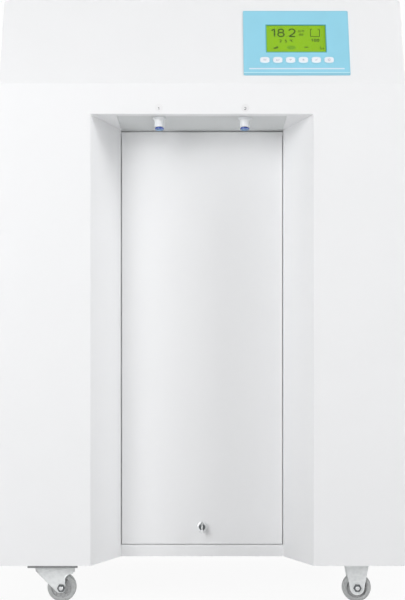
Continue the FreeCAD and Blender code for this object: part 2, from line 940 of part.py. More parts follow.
def swivel_fork(depth):
    """Swept fork, its legs trailing behind the kingpin and cut away over the wheel."""
    axle_x = swivel_x + swivel_trail
    top = fork_top()
    shoulder = top - leg_shoulder
    boss = leg_boss_radius
    cut = math.radians(leg_cut_angle)
    outline = [(swivel_x - crown_half, top), (swivel_x - crown_half, shoulder),
               (axle_x - boss * math.cos(cut), wheel_radius - boss * math.sin(cut)),
               (axle_x + boss, wheel_radius),
               (axle_x + boss, shoulder), (swivel_x + crown_half, shoulder), (swivel_x + crown_half, top)]
    fork = straddle(outline, axle_x, boss, depth, top, crown_thickness)
    disc = rod(crown_disc_radius, at(swivel_x, depth, top - crown_thickness), at(swivel_x, depth, top))
    fork = joined([fork, disc])
    hole = rod(kingpin_radius + running_gap, at(swivel_x, depth, 0), at(swivel_x, depth, cabinet_bottom))
    return fork.cut(hole)


def caster_bolt_spots(height):
    spots = []
    for depth in (caster_front, caster_rear):
        for x, length, width in ((swivel_x, swivel_plate_length, swivel_plate_width),
                                 (rigid_x, rigid_plate_length, rigid_plate_width)):
            for sign_x in (-1, 1):
                for sign_y in (-1, 1):
                    spot_x = x + sign_x * (length / 2 - bolt_hole_inset)
                    spots.append(at(spot_x, depth + sign_y * (width / 2 - bolt_hole_inset), height))
    return spots


def caster_plate_solid(x, depth, length, width):
    top = cabinet_bottom
    plate = block(x - length / 2, x + length / 2, depth - width / 2, depth + width / 2, top - caster_plate, top)
    holes = [rod(bolt_hole_radius, spot, spot + Vector(0, 0, 2 * overrun))
             for spot in caster_bolt_spots(top - overrun)]
    return plate.cut(Part.makeCompound(holes))


def swivel_plate(depth):
    """Top plate with its turned-down lips, the ball race and the riveted kingpin."""
    plate = caster_plate_solid(swivel_x, depth, swivel_plate_length, swivel_plate_width)
    half_x = swivel_plate_length / 2
    half_y = swivel_plate_width / 2
    lips = [block(swivel_x - half_x, swivel_x + half_x, edge, edge + caster_plate,
                  cabinet_bottom - caster_plate - plate_lip, cabinet_bottom - caster_plate)
            for edge in (depth - half_y, depth + half_y - caster_plate)]
    low = cabinet_bottom - caster_plate
    head_top = fork_top() - crown_thickness - fork_clear
    profile = [(0, head_top - kingpin_head), (kingpin_head_radius, head_top - kingpin_head),
               (kingpin_head_radius, head_top), (kingpin_radius, head_top), (kingpin_radius, low - race_height),
               (race_radius - caster_plate, low - race_height), (race_radius, low - race_height / 2),
               (race_radius, low), (0, low)]
    return joined([plate, *lips, turned(profile, at(swivel_x, depth, 0), Vector(0, 0, 1))])


def rigid_bracket(depth):
    """Fixed bracket, its legs tapering to a round end at the axle."""
    top = cabinet_bottom - caster_plate
    half = rigid_top_width / 2
    boss = rigid_boss_radius
    outline = [(rigid_x - half, top), (rigid_x - boss, wheel_radius), (rigid_x + boss, wheel_radius),
               (rigid_x + half, top)]
    legs = straddle(outline, rigid_x, boss, depth, top, crown_thickness)
    return joined([legs, caster_plate_solid(rigid_x, depth, rigid_plate_length, rigid_plate_width)])


# Water treatment
def capped_vessel(x, bottom, length, radius, cap, cap_extra, port_radius, port, depth):
    """Upright tube with a wider cap and a port at each end."""
    wide = radius + cap_extra
    profile = [(0, -port), (port_radius, -port), (port_radius, 0), (wide - cap_extra, 0), (wide, cap_extra),
               (wide, cap), (radius, cap), (radius, length - cap), (wide, length - cap),
               (wide, length - cap_extra), (wide - cap_extra, length), (port_radius, length),
               (port_radius, length + port), (0, length + port)]
    return turned(profile, at(x, depth, bottom), Vector(0, 0, 1))


def purification_column(x):
    return capped_vessel(x, column_bottom, column_length, column_radius, column_cap,
                         column_cap_radius - column_radius, column_nipple_radius, column_nipple, column_depth)


def saddle(x, z, radius, standoff):
    """Clip that holds an upright vessel to the mounting plate, open at its front."""
    depth = mounting_depth - standoff
    inner = radius + seat_gap
    outer = inner + clip_thickness
    top = z + clip_height
    ring = rod(outer, at(x, depth, z), at(x, depth, top))
    foot = block(x - outer / 2, x + outer / 2, depth, mounting_depth, z, top)
    bore = rod(inner, at(x, depth, z - overrun), at(x, depth, top + overrun))
    mouth = block(x - outer - overrun, x + outer + overrun, depth - outer - overrun,
                  depth - inner * clip_end_share, z - overrun, top + overrun)
    return joined([ring, foot]).cut(bore).cut(mouth)


def clips_for(x, bottom, length, radius, cap, standoff):
    """Two clips, just inside the caps."""
    return [saddle(x, bottom + cap + clip_height, radius, standoff),
            saddle(x, bottom + length - cap - 2 * clip_height, radius, standoff)]


def prefilter_head(x):
    """Filter head with a back that seats on the mounting plate and a port on each side."""
    low = prefilter_head_top - head_height
    depth = prefilter_depth
    cap = [(0, 0), (prefilter_head_radius, 0), (prefilter_head_radius, head_height - bowl_wall),
           (prefilter_head_radius - bowl_wall, head_height), (0, head_height)]
    body = turned(cap, at(x, depth, low), Vector(0, 0, 1))
    back = block(x - prefilter_back_width / 2, x + prefilter_back_width / 2, depth, mounting_depth,
                 low, prefilter_head_top - bowl_wall)
    middle_z = low + head_height / 2
    ports = rod(prefilter_port_radius, at(x - prefilter_port, depth, middle_z),
                at(x + prefilter_port, depth, middle_z))
    return joined([body, back, ports])


def prefilter_bowl(x):
    """Clear bowl with a screwed collar and a domed foot."""
    high = prefilter_head_top - head_height - seat_gap
    low = high - bowl_length
    inner = bowl_radius - bowl_wall
    profile = [(0, low), (bowl_radius - bowl_fillet, low), (bowl_radius, low + bowl_fillet),
               (bowl_radius, high - bowl_collar), (bowl_collar_radius, high - bowl_collar),
               (bowl_collar_radius, high), (inner, high), (inner, low + bowl_fillet),
               (inner - bowl_fillet + bowl_wall, low + bowl_wall), (0, low + bowl_wall)]
    return turned(profile, at(x, prefilter_depth, 0), Vector(0, 0, 1))


def filter_element(x):
    """Wound cartridge standing in its bowl."""
    high = prefilter_head_top - head_height - seat_gap
    low = high - bowl_length + bowl_wall + seat_gap
    radius = bowl_radius - bowl_wall - bowl_fillet
    return rod(radius, at(x, prefilter_depth, low), at(x, prefilter_depth, high))


def side_vessel(x, bottom, length, radius):
    return capped_vessel(x, bottom, length, radius, vessel_cap, vessel_cap_extra,
                         vessel_port_radius, vessel_port, mounting_depth - vessel_standoff)


def pressure_tank():
    """Diaphragm tank with domed shoulders on a ring foot."""
    low = tray_top
    shell_low = low + tank_foot
    high = shell_low + tank_height
    shoulder = tank_radius * tank_shoulder_share
    foot = tank_radius * tank_foot_share
    profile = [(0, shell_low), (foot - tray_sheet, shell_low), (foot - tray_sheet, low),
               (foot, low), (foot, shell_low), (shoulder, shell_low + tank_shoulder / 4),
               (tank_radius, shell_low + tank_shoulder), (tank_radius, high - tank_shoulder),
               (shoulder, high - tank_shoulder / 4), (tank_neck_radius, high),
               (tank_neck_radius, high + tank_neck), (0, high + tank_neck)]
    return turned(profile, at(tank_x, rear_middle, 0), Vector(0, 0, 1))


def booster_pump():
    """Diaphragm pump lying along X, its motor cradled on a base plate."""
    low = tray_top
    centre_z = low + pump_lift + pump_head_side / 2
    start = pump_x - pump_motor_length
    motor = rod(pump_motor_radius, at(start, rear_middle, centre_z), at(pump_x, rear_middle, centre_z))
    half = pump_head_side / 2
    head = block(pump_x, pump_x + pump_head_length, rear_middle - half, rear_middle + half,
                 centre_z - half, centre_z + half)
    port_x_place = pump_x + pump_head_length / 2
    ports = rod(pump_port_radius, at(port_x_place, rear_middle - half - pump_port, centre_z),
                at(port_x_place, rear_middle + half + pump_port, centre_z))
    base = block(start, pump_x + pump_head_length, rear_middle - pump_base_width / 2,
                 rear_middle + pump_base_width / 2, low, low + pump_base_thickness)
    cradle = block(start + pump_base_thickness, pump_x, rear_middle - pump_motor_radius / 2,
                   rear_middle + pump_motor_radius / 2, low, centre_z)
    return joined([motor, head, ports, base, cradle])


def power_supply():
    """Perforated supply box on the back of the mounting plate."""
    front = mounting_depth + tray_sheet
    box = block(supply_x - supply_width / 2, supply_x + supply_width / 2, front, front + supply_depth,
                supply_z - supply_height / 2, supply_z + supply_height / 2)
    return soften(box, supply_round, lambda edge: near(middle(edge).y, front + supply_depth))


def solenoid_valve(x):
    """Dispensing valve on the outlet plate, behind its outlet."""
    low = ceiling_height + sheet
    body = block(x - valve_width / 2, x + valve_width / 2, valve_depth - valve_length / 2,
                 valve_depth + valve_length / 2, low, low + valve_height)
    coil = rod(valve_coil_radius - fitting_round, at(x, valve_depth, low + valve_height),
               at(x, valve_depth, low + valve_height + valve_coil))
    return joined([body, coil])


# Tubes
def loop_tube(x0, x1, z, depth, rise):
    """Tube out of one port, over and into the next, with an arc at each corner."""
    sign = 1 if rise > 0 else -1
    top = z + rise
    corner = tube_bend * (1 - math.sqrt(1 / 2))
    points = [at(x0, depth, z), at(x0, depth, top - sign * tube_bend),
              at(x0 + corner, depth, top - sign * corner), at(x0 + tube_bend, depth, top),
              at(x1 - tube_bend, depth, top), at(x1 - corner, depth, top - sign * corner),
              at(x1, depth, top - sign * tube_bend), at(x1, depth, z)]
    edges = [Part.LineSegment(points[0], points[1]).toShape(),
             Part.Arc(points[1], points[2], points[3]).toShape(),
             Part.LineSegment(points[3], points[4]).toShape(),
             Part.Arc(points[4], points[5], points[6]).toShape(),
             Part.LineSegment(points[6], points[7]).toShape()]
    path = Part.Wire(edges)
    circle = Part.Wire(Part.makeCircle(tube_radius, points[0], Vector(0, 0, 1)))
    return path.makePipeShell([circle], True, False)


def link_tube():
    """Straight tube between the two pre-filter heads."""
    z = prefilter_head_top - head_height / 2
    gap = prefilter_spacing / 2 - prefilter_port
    return rod(tube_radius, at(-gap, prefilter_depth, z), at(gap, prefilter_depth, z))


def connecting_tubes():
    top = column_bottom + column_length + column_nipple
    bottom = column_bottom - column_nipple
    over = loop_tube(column_places[0], column_places[1], top, column_depth, tube_loop_rise)
    under = loop_tube(column_places[1], column_places[2], bottom, column_depth, -tube_loop_rise)
    return [over, under, link_tube()]


# Rear fittings
def rear_port(x):
    """Bulkhead push-fit port, its socket opening to the rear."""
    mouth = port_flange + port_body
    profile = [(0, -port_stem), (port_stem_radius, -port_stem), (port_stem_radius, 0), (port_flange_radius, 0),
               (port_flange_radius, port_flange), (port_body_radius, port_flange),
               (port_body_radius, mouth - fitting_round), (port_body_radius - fitting_round, mouth),
               (tube_bore_radius, mouth), (tube_bore_radius, mouth - port_socket), (0, mouth - port_socket)]
    return turned(profile, at(x, cabinet_depth, port_z), Vector(0, 1, 0))


def inlet_middle():
    return inlet_z - inlet_offset


def rocker_middle():
    return inlet_z + inlet_offset


def power_inlet():
    """Mains inlet with three blades in its well, and the switch well above it."""
    half_x = inlet_flange_width / 2
    half_z = inlet_flange_height / 2
    flange = block(inlet_x - half_x, inlet_x + half_x, cabinet_depth, cabinet_depth + inlet_flange,
                   inlet_z - half_z, inlet_z + half_z)
    flange = soften(flange, panel_corner, lambda edge: direction(edge).y > aligned)
    body = block(inlet_x - inlet_width / 2, inlet_x + inlet_width / 2,
                 cabinet_depth - inlet_body, cabinet_depth,
                 inlet_z - half_z + bezel_width + seat_gap, inlet_z + half_z - bezel_width - seat_gap)
    rear = cabinet_depth + inlet_flange
    z = inlet_middle() - fitting_round
    well = block(inlet_x - inlet_well_width / 2, inlet_x + inlet_well_width / 2,
                 rear - inlet_well, rear + overrun,
                 z - inlet_well_height / 2, z + inlet_well_height / 2)
    solid = flange.fuse(body).cut(well)
    for step in (-1, 0, 1):
        x = inlet_x + step * blade_pitch
        base = rear - inlet_well - overrun / 2
        blade = block(x - blade_width / 2, x + blade_width / 2, base, base + overrun / 2 + blade_length,
                      z - blade_height / 2, z + blade_height / 2)
        solid = solid.fuse(blade)
    half_x = rocker_width / 2 + rocker_gap
    half_z = rocker_height / 2 + seat_gap
    z = rocker_middle()
    switch_well = block(inlet_x - half_x, inlet_x + half_x, rear - 2 * rocker_depth, rear + overrun,
                        z - half_z, z + half_z)
    return solid.cut(switch_well)


def power_rocker():
    """Rocker with two faces that meet in a shallow valley, resting on its off side."""
    rear = cabinet_depth + inlet_flange
    z = rocker_middle()
    half = rocker_width / 2
    rise = half * math.tan(math.radians(rocker_tilt))
    foot = half * rocker_foot_share
    outline = [(-foot, -rocker_depth / 2), (foot, -rocker_depth / 2), (half, 0), (half, rocker_proud),
               (0, rocker_proud - rise), (-half, rocker_proud), (-half, 0)]
    points = [Vector(x, y, -rocker_height / 2) for x, y in outline]
    solid = prism(points, Vector(0, 0, rocker_height))
    turn = FreeCAD.Rotation(Vector(0, 0, 1), -rocker_tilt)
    solid.Placement = FreeCAD.Placement(at(inlet_x, rear - rocker_depth / 3, z), turn)
    return solid


# Build every piece
save("front_shell", front_shell())
save("side_panel_left", side_panel(-1))
save("side_panel_right", side_panel(1))
save("rear_panel", rear_panel())
save("top_cover", top_cover())
save("base_tray", base_tray())
save("mounting_plate", mounting_plate())
save("outlet_plate", outlet_plate())
save("door_frame", door_frame())
save("panel_screws", *panel_screws())
save("outlet_labels", *[outlet_label(x) for x in outlet_places])
save("access_door", access_door())
save("pivot_pins", pivot_pin(-1), pivot_pin(1))
save("pivot_bushes", pivot_bush(-1), pivot_bush(1))
save("lock_housing", lock_housing())
save("lock_nut", lock_nut_ring())
save("lock_plug", lock_plug())
save("lock_cam", lock_cam())
save("lock_key", lock_key())
for side_name, place in zip(("left", "right"), outlet_places):
    save("release_collar_" + side_name, release_collar(place))
save("outlet_fittings", *[outlet_fitting(x) for x in outlet_places])
save("outlet_nuts", *[outlet_nut(x) for x in outlet_places])
save("control_overlay", control_overlay())
save("display_window", display_window())
save("display_module", display_module())
save("control_board", control_board())
for number in range(key_count):
    save("panel_key_%d" % (number + 1), panel_key(number))
for end_name, place in (("front", caster_front), ("rear", caster_rear)):
    save("swivel_fork_" + end_name, swivel_fork(place))
    save("swivel_axle_" + end_name, caster_axle(swivel_x + swivel_trail, place))
    save("swivel_wheel_" + end_name, caster_wheel(swivel_x + swivel_trail, place))
    save("rigid_wheel_" + end_name, caster_wheel(rigid_x, place))
save("swivel_plates", swivel_plate(caster_front), swivel_plate(caster_rear))
save("rigid_brackets", rigid_bracket(caster_front), rigid_bracket(caster_rear))
save("rigid_axles", caster_axle(rigid_x, caster_front), caster_axle(rigid_x, caster_rear))
save("purification_columns", *[purification_column(x) for x in column_places])
save("prefilter_heads", *[prefilter_head(x) for x in prefilter_places])
save("prefilter_bowls", *[prefilter_bowl(x) for x in prefilter_places])
save("filter_elements", *[filter_element(x) for x in prefilter_places])
vessels = {"membrane_left": (inner_place, membrane_bottom, membrane_length, membrane_radius),
           "membrane_right": (outer_place, membrane_bottom, membrane_length, membrane_radius),
           "uv_chamber": (-inner_place, uv_bottom, uv_length, uv_radius),
           "ultrafilter": (-outer_place, ultrafilter_bottom, ultrafilter_length, ultrafilter_radius)}
vessel_clips = []
for x in column_places:
    vessel_clips += clips_for(x, column_bottom, column_length, column_radius, column_cap, column_standoff)
for x, low, length, radius in vessels.values():
    vessel_clips += clips_for(x, low, length, radius, vessel_cap, vessel_standoff)
save("membrane_housings", side_vessel(*vessels["membrane_left"]), side_vessel(*vessels["membrane_right"]))
save("uv_chamber", side_vessel(*vessels["uv_chamber"]))
save("ultrafilter", side_vessel(*vessels["ultrafilter"]))
save("vessel_clips", *vessel_clips)
save("pressure_tank", pressure_tank())
save("booster_pump", booster_pump())
save("power_supply", power_supply())
save("solenoid_valves", *[solenoid_valve(x) for x in outlet_places])
save("connecting_tubes", *connecting_tubes())
save("rear_ports", *[rear_port(x) for x in port_places()])
save("power_inlet", power_inlet())
save("power_rocker", power_rocker())
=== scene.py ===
import json
import math

import bmesh
import bpy
import numpy as np
from bpy.props import FloatProperty, FloatVectorProperty, IntProperty, PointerProperty
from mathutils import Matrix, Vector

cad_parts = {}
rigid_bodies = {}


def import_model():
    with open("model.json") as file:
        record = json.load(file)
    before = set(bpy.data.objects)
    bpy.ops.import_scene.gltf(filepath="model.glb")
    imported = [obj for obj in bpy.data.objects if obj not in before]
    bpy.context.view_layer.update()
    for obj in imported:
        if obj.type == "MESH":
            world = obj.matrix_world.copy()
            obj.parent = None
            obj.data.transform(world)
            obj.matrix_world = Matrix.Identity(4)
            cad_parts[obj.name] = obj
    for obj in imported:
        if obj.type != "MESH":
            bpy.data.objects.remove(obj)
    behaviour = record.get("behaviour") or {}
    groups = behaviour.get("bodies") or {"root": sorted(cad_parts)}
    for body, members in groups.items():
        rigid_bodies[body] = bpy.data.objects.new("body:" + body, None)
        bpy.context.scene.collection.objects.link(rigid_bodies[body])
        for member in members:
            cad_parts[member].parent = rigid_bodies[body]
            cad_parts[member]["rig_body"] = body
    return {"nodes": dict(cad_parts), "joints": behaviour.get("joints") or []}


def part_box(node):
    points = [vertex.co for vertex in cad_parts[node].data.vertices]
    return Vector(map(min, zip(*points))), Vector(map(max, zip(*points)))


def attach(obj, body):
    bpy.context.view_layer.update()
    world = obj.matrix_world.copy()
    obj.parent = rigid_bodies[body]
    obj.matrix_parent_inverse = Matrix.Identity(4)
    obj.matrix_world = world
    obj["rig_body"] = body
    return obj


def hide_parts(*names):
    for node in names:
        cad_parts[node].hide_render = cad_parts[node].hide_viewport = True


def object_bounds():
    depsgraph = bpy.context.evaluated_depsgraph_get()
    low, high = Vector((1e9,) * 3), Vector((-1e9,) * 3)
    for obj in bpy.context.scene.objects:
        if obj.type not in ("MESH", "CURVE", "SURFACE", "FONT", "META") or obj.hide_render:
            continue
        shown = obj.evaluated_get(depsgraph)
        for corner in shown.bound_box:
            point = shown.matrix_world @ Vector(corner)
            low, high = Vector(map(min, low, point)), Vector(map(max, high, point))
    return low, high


bl_info = {
    "name": "Ultrapure water system",
    "version": (1, 0, 0),
    "blender": (4, 5, 0),
    "location": "3D View > Sidebar > Water system",
    "description": "Enamel, outlets, lock, console, casters and stage for a floor-standing water system",
    "category": "Object",
}

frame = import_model()
cad_low, cad_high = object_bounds()
MM = 0.001
TURN = 2 * math.pi
LEAN = next(math.asin(-j["axis"][2]) for j in frame["joints"] if j["name"] == "key_1_press")


# Settings that a user would change
def colour(name, description, default):
    return FloatVectorProperty(name=name, description=description, default=default,
                               size=3, min=0, max=1, subtype="COLOR")


def number(name, description, default, **limits):
    return FloatProperty(name=name, description=description, default=default, **limits)


def length(name, description, default_mm):
    return number(name, description, default_mm * MM, min=0, unit="LENGTH", precision=4)


class FinishSettings(bpy.types.PropertyGroup):
    enamel: colour("Enamel", "Powder coat of the cabinet and the door", (0.88, 0.885, 0.895))
    # The outlet plate is the cabinet's enamel darkened to about 0.8 of it: painted shade for the recess's
    # ceiling, which faces the floor
    ceiling: colour("Outlet plate", "Powder coat of the plate that holds the outlets", (0.7, 0.72, 0.72))
    zinc: colour("Zinc", "Plated sheet of the casters and the tray", (0.89, 0.91, 0.92))
    steel: colour("Bright steel", "Bolts, nuts and pins", (0.66, 0.67, 0.68))
    # Dark steel of the caster nuts; on the lock's plug the same dark finish is painted shade, for the shade
    # round the key in its keyway
    dark_steel: colour("Dark steel", "Caster nuts and the lock's plug", (0.14, 0.15, 0.155))
    chrome: colour("Chrome", "Lock face and key", (0.78, 0.79, 0.8))
    tyre: colour("Tyre", "Tread of the caster wheels", (0.46, 0.47, 0.47))
    core: colour("Wheel core", "Moulded middle of the caster wheels", (0.42, 0.425, 0.43))
    plastic: colour("White plastic", "Fittings, columns and ports", (0.78, 0.8, 0.82))
    collar: colour("Collar blue", "Outside of the outlets' release collars", (0.02, 0.07, 0.36))
    collar_face: colour("Collar face", "Lower face and bore of the release collars", (0.3, 0.5, 0.8))
    film: colour("Console film", "Printed film of the control panel", (0.3, 0.66, 0.82))
    film_line: colour("Film frame", "Line round the display", (0.04, 0.34, 0.42))
    cap: colour("Key cap", "Embossed keys", (0.86, 0.9, 0.95))
    cap_edge: colour("Key edge", "Shoulder round the keys", (0.5, 0.76, 0.9))
    cap_ink: colour("Key ink", "Marks on the keys", (0.33, 0.33, 0.45))
    lcd: colour("Display", "Lit ground of the display", (0.3, 0.545, 0.008))
    lcd_ink: colour("Display ink", "Figures on the display", (0.012, 0.05, 0.008))


class ConsoleSettings(bpy.types.PropertyGroup):
    film_thickness: length("Film thickness", "Height of the film on the console", 1.2)
    key_rise: length("Key rise", "Height of the key caps over the film", 1.0)
    key_crown: length("Key crown", "Rise of a cap from its shoulder to its middle", 0.45)
    stroke: length("Figure stroke", "Width of the big figures' strokes", 2.6)
    ink_height: length("Ink height", "Thickness of the printed marks", 0.06)


class CasterSettings(bpy.types.PropertyGroup):
    flange: length("Fork flange", "Rise of the pressed rim on a fork's legs", 1.1)
    dimple: length("Bracket step", "Step pressed into the fixed brackets", 1.2)
    rib: length("Core rib", "Height of the ribs moulded into a wheel's core", 1.0)
    rib_count: IntProperty(name="Core ribs", description="Number of ribs on each side of a wheel",
                           default=8, min=3, max=24)


class StageSettings(bpy.types.PropertyGroup):
    distance: number("Camera distance", "From the camera to the front", 1.987, min=0.5, unit="LENGTH")
    eye: number("Camera height", "Height of the camera over the floor", 0.3607, min=0, unit="LENGTH")
    lens: number("Lens", "Focal length in millimetres", 70.13, min=10)
    shift: number("Lens shift", "Upward shift of the frame", 0.1583)
    ambient: number("Ambient", "Light from all round", 0.12, min=0)
    floor_lift: number("Floor lift", "Share of plain white in the seen floor", 0.93, min=0, max=1,
                       subtype="FACTOR")


def fill(owner, **values):
    """Sets some of a thing's attributes and returns the thing."""
    for key, value in values.items():
        setattr(owner, key, value)
    return owner


# Shader maths
def operation(kind):
    return lambda self, *others: self.math(kind, *others)


class Socket:
    """A shader socket that adds, scales and compares like a number."""

    def __init__(self, graph, socket):
        self.graph = graph
        self.socket = socket

    def math(self, kind, *others):
        return self.graph.node("Math", dict(enumerate((self, *others))), operation=kind)

    __add__ = __radd__ = operation("ADD")
    __sub__ = operation("SUBTRACT")
    __mul__ = __rmul__ = operation("MULTIPLY")
    __gt__ = operation("GREATER_THAN")
    __lt__ = operation("LESS_THAN")
    __abs__ = operation("ABSOLUTE")
    larger = operation("MAXIMUM")


class Graph:
    """Nodes of one material or of the world."""

    def __init__(self, owner):
        owner.use_nodes = True
        self.owner = owner
        self.tree = owner.node_tree
        self.tree.nodes.clear()

    def node(self, kind, inputs=None, output=0, **settings):
        """Adds a node, sets its settings and then its sockets' values or links, and returns one output."""
        made = fill(self.tree.nodes.new("ShaderNode" + kind), **settings)
        for key, value in (inputs or {}).items():
            if isinstance(value, Socket):
                self.tree.links.new(value.socket, made.inputs[key])
            else:
                made.inputs[key].default_value = value
        return Socket(self, made.outputs[output]) if made.outputs else made

    def place(self):
        return self.node("TexCoord", output="Object")

    def split(self, vector):
        return [self.node("SeparateXYZ", {0: vector}, output=i) for i in range(3)]

    def noise(self, grain, detail=2, stretch=None):
        """Noise whose features are a grain wide, in metres, and longer along an axis with a small stretch."""
        place = self.place()
        if stretch:
            place = self.node("Mapping", {"Vector": place, "Scale": stretch})
        return self.node("TexNoise", {"Vector": place, "Scale": 1 / grain, "Detail": detail})

    def mix(self, factor, first, second):
        wide = [(*c, 1) if isinstance(c, tuple) else c for c in (first, second)]
        return self.node("Mix", {0: factor, 6: wide[0], 7: wide[1]}, 2, data_type="RGBA")

    def tone(self, factor, base, low, high):
        """The base colour, times low where the factor is 0 and times high where it is 1."""
        return self.mix(factor, shade(base, low), shade(base, high))

    def bump(self, height, depth):
        return self.node("Bump", {"Height": height, "Distance": depth})

    def surface(self, **sockets):
        """Principled surface; each keyword is a socket's name in small letters."""
        names = {key.replace("_", " ").title().replace("Ior", "IOR"): value for key, value in sockets.items()}
        return self.finish(self.node("BsdfPrincipled", names))

    def two(self, factor, *shaders):
        """Mixes two shaders, each a pair of its node and its inputs."""
        made = [self.node(*shader) for shader in shaders]
        return self.finish(self.node("MixShader", dict(enumerate((factor, *made)))))

    def ray(self, kind):
        return self.node("LightPath", output="Is %s Ray" % kind)

    def finish(self, shader):
        self.node("OutputWorld" if isinstance(self.owner, bpy.types.World) else "OutputMaterial",
                  {"Surface": shader})
        return self.owner


def new_graph(name):
    return Graph(bpy.data.materials.new(name))


def shade(base, amount):
    """A colour, given as such or by its name in the settings, times an amount."""
    if isinstance(base, str):
        base = getattr(bpy.context.scene.water_finish, base)
    return tuple(min(1.0, c * amount) for c in base)


def powder_coat(name, base):
    """Satin powder coat: orange peel 1.6 mm wide over a finer grain, and a faint cloudiness."""
    g = new_graph(name)
    grain = g.noise(0.5 * MM)
    cloud = g.noise(0.12, 3)
    tone = g.tone(cloud, base, 0.985, 1.01)
    return g.surface(base_color=g.mix((grain > 0.7) * 0.25, tone, shade(base, 0.95)),
                     roughness=0.56 + 0.12 * cloud, specular_ior_level=0.35,
                     normal=g.bump(g.noise(1.6 * MM) + grain * 0.4, 0.04 * MM))


def plated(name, base, grain=0.006, rough=0.3, metal=0.2):
    """Plated steel: crystal patches of slightly different tone, and rolling lines."""
    g = new_graph(name)
    patches = g.node("TexVoronoi", {"Vector": g.place(), "Scale": 1 / grain}, "Distance")
    lines = g.noise(0.7 * MM, stretch=(0.06, 1, 1))
    return g.surface(base_color=g.tone(patches * 0.5 + lines * 0.5, base, 0.86, 1.1), metallic=metal,
                     roughness=rough + 0.16 * lines, normal=g.bump(lines + patches * 0.3, 0.02 * MM))


def polished(name, base, rough=0.1, metal=1.0):
    """Bright plating with a trace of fine wiping marks."""
    g = new_graph(name)
    marks = g.noise(0.4 * MM, 3, (1, 1, 0.2))
    return g.surface(base_color=g.tone(marks, base, 0.94, 1.04), metallic=metal,
                     roughness=rough + 0.1 * marks, normal=g.bump(marks, 0.004 * MM))


def moulded(name, base, rough=0.32, grain=0.8 * MM, depth=0.01 * MM, coat=0.0):
    """Moulded plastic: fine spark-eroded grain and faint flow clouds."""
    g = new_graph(name)
    fine = g.noise(grain)
    return g.surface(base_color=g.tone(g.noise(0.03, 3), base, 0.93, 1.05), roughness=rough + 0.12 * fine,
                     coat_weight=coat, coat_roughness=0.1, normal=g.bump(fine, depth))


def tyre_rubber(name, base):
    """Grey tread rubber, scuffed lighter in patches, with fine pits."""
    g = new_graph(name)
    scuff = g.noise(5 * MM, 4)
    return g.surface(base_color=g.tone(scuff, base, 0.8, 1.2), roughness=0.55 + 0.2 * scuff,
                     normal=g.bump(g.noise(0.6 * MM), 0.05 * MM))


def ink(name, base):
    """Printed ink, a little uneven."""
    g = new_graph(name)
    return g.surface(base_color=g.tone(g.noise(0.5 * MM), base, 0.85, 1.15), roughness=0.5)


def clear(name, base, alpha):
    """Clear sheet or moulding with faint streaks."""
    g = new_graph(name)
    streak = g.noise(4 * MM, stretch=(1, 1, 0.1))
    return g.surface(base_color=(*base, 1), roughness=0.06 + 0.05 * streak, alpha=alpha)


def console_film(name, base, line, plane, window, size):
    """Film printed blue: a teal line round the window, and lower down a plain white bar, a pale rule and a
    darker strip, all inside a darker rim. Each mark fills the band where a distance is small."""
    g = new_graph(name)
    frame_of_film = {"Location": tuple(plane.origin), "Rotation": (math.pi / 2 - LEAN, 0, 0)}
    u, v, _ = g.split(g.node("Mapping", {"Vector": g.place(), **frame_of_film}, vector_type="TEXTURE"))
    grain = g.noise(0.35 * MM)
    half_u, half_v = size[0] / 2, size[1] / 2
    low = -half_v
    line_at = (abs(u - window[0]) - window[2] / 2).larger(abs(v - window[1]) - window[3] / 2)
    bar = (abs(v - (low + 12.9 * MM)) < 1.2 * MM) * (abs(u) < half_u - 9.6 * MM)
    rim = (abs(u) - half_u).larger(abs(v) - half_v) > -0.8 * MM
    tone = g.tone(g.noise(0.05), base, 0.96, 1.05)
    for mark, strength, print_colour in (
            (line_at < 1.5 * MM, 1, shade(line, 1)),
            (abs(v - (low + 5.2 * MM)) < 0.7 * MM, 0.6, (0.75, 0.95, 1.0)),
            (bar, 0.75, (0.9, 0.9, 0.98)),
            (v < low + 4.5 * MM, 0.7, shade(base, 0.86)),
            (rim, 0.5, shade(base, 0.8))):
        tone = g.mix(mark * strength, tone, print_colour)
    return g.surface(base_color=tone, roughness=0.4 + 0.1 * grain, normal=g.bump(grain, 0.01 * MM))


def lit_display(name, base):
    """Backlit display: grain 0.4 mm wide over a slow drift of its brightness."""
    g = new_graph(name)
    tone = g.mix(g.noise(0.4 * MM) * 0.15, g.tone(g.noise(0.04, 1), base, 0.9, 1.15), shade(base, 0.7))
    return g.surface(base_color=tone, roughness=0.35, emission_color=tone, emission_strength=0.12)


def wound_yarn(name, base):
    """Cartridge wound with yarn: crossing diagonal ridges about 3 mm apart."""
    g = new_graph(name)
    ridge = 0
    for tilt in (0.35, -0.35):
        place = g.node("Mapping", {"Vector": g.place(), "Rotation": (0, tilt, 0)})
        wave = g.node("TexWave", {"Vector": place, "Scale": 110, "Distortion": 1.5}, 1,
                      wave_type="BANDS", bands_direction="Z")
        ridge = wave * 0.5 + ridge
    return g.surface(base_color=g.mix(ridge, shade(base, 0.72), base), roughness=0.85,
                     normal=g.bump(ridge, 0.5 * MM))


def printed_board(name, base):
    """Lacquered board with paler copper runs under the green."""
    g = new_graph(name)
    amounts = {"Color1": 1, "Color2": 1.5, "Mortar": 0.6}
    tones = {key: (*shade(base, amount), 1) for key, amount in amounts.items()}
    runs = g.node("TexBrick", {"Vector": g.place(), "Scale": 90.0, **tones})
    return g.surface(base_color=runs, roughness=0.3)


# Surfaces: a shape is a pair of its points and its faces
def share(x):
    """x held between 0 and 1."""
    return np.clip(x, 0, 1)


def circle(radius, x):
    """Height sqrt(r^2 - x^2) of a circle over its diameter, and 0 beyond it."""
    return np.sqrt(np.maximum(radius ** 2 - x ** 2, 0))


def grid(rings):
    """Points and quads of closed rings, each joined to the next."""
    count, size = rings.shape[:2]
    row = np.arange(count - 1)[:, None] * size
    column = np.arange(size)[None, :]
    right = (column + 1) % size
    quads = np.stack([row + column, row + right, row + size + right, row + size + column], -1)
    return rings.reshape(-1, 3), quads.reshape(-1, 4)


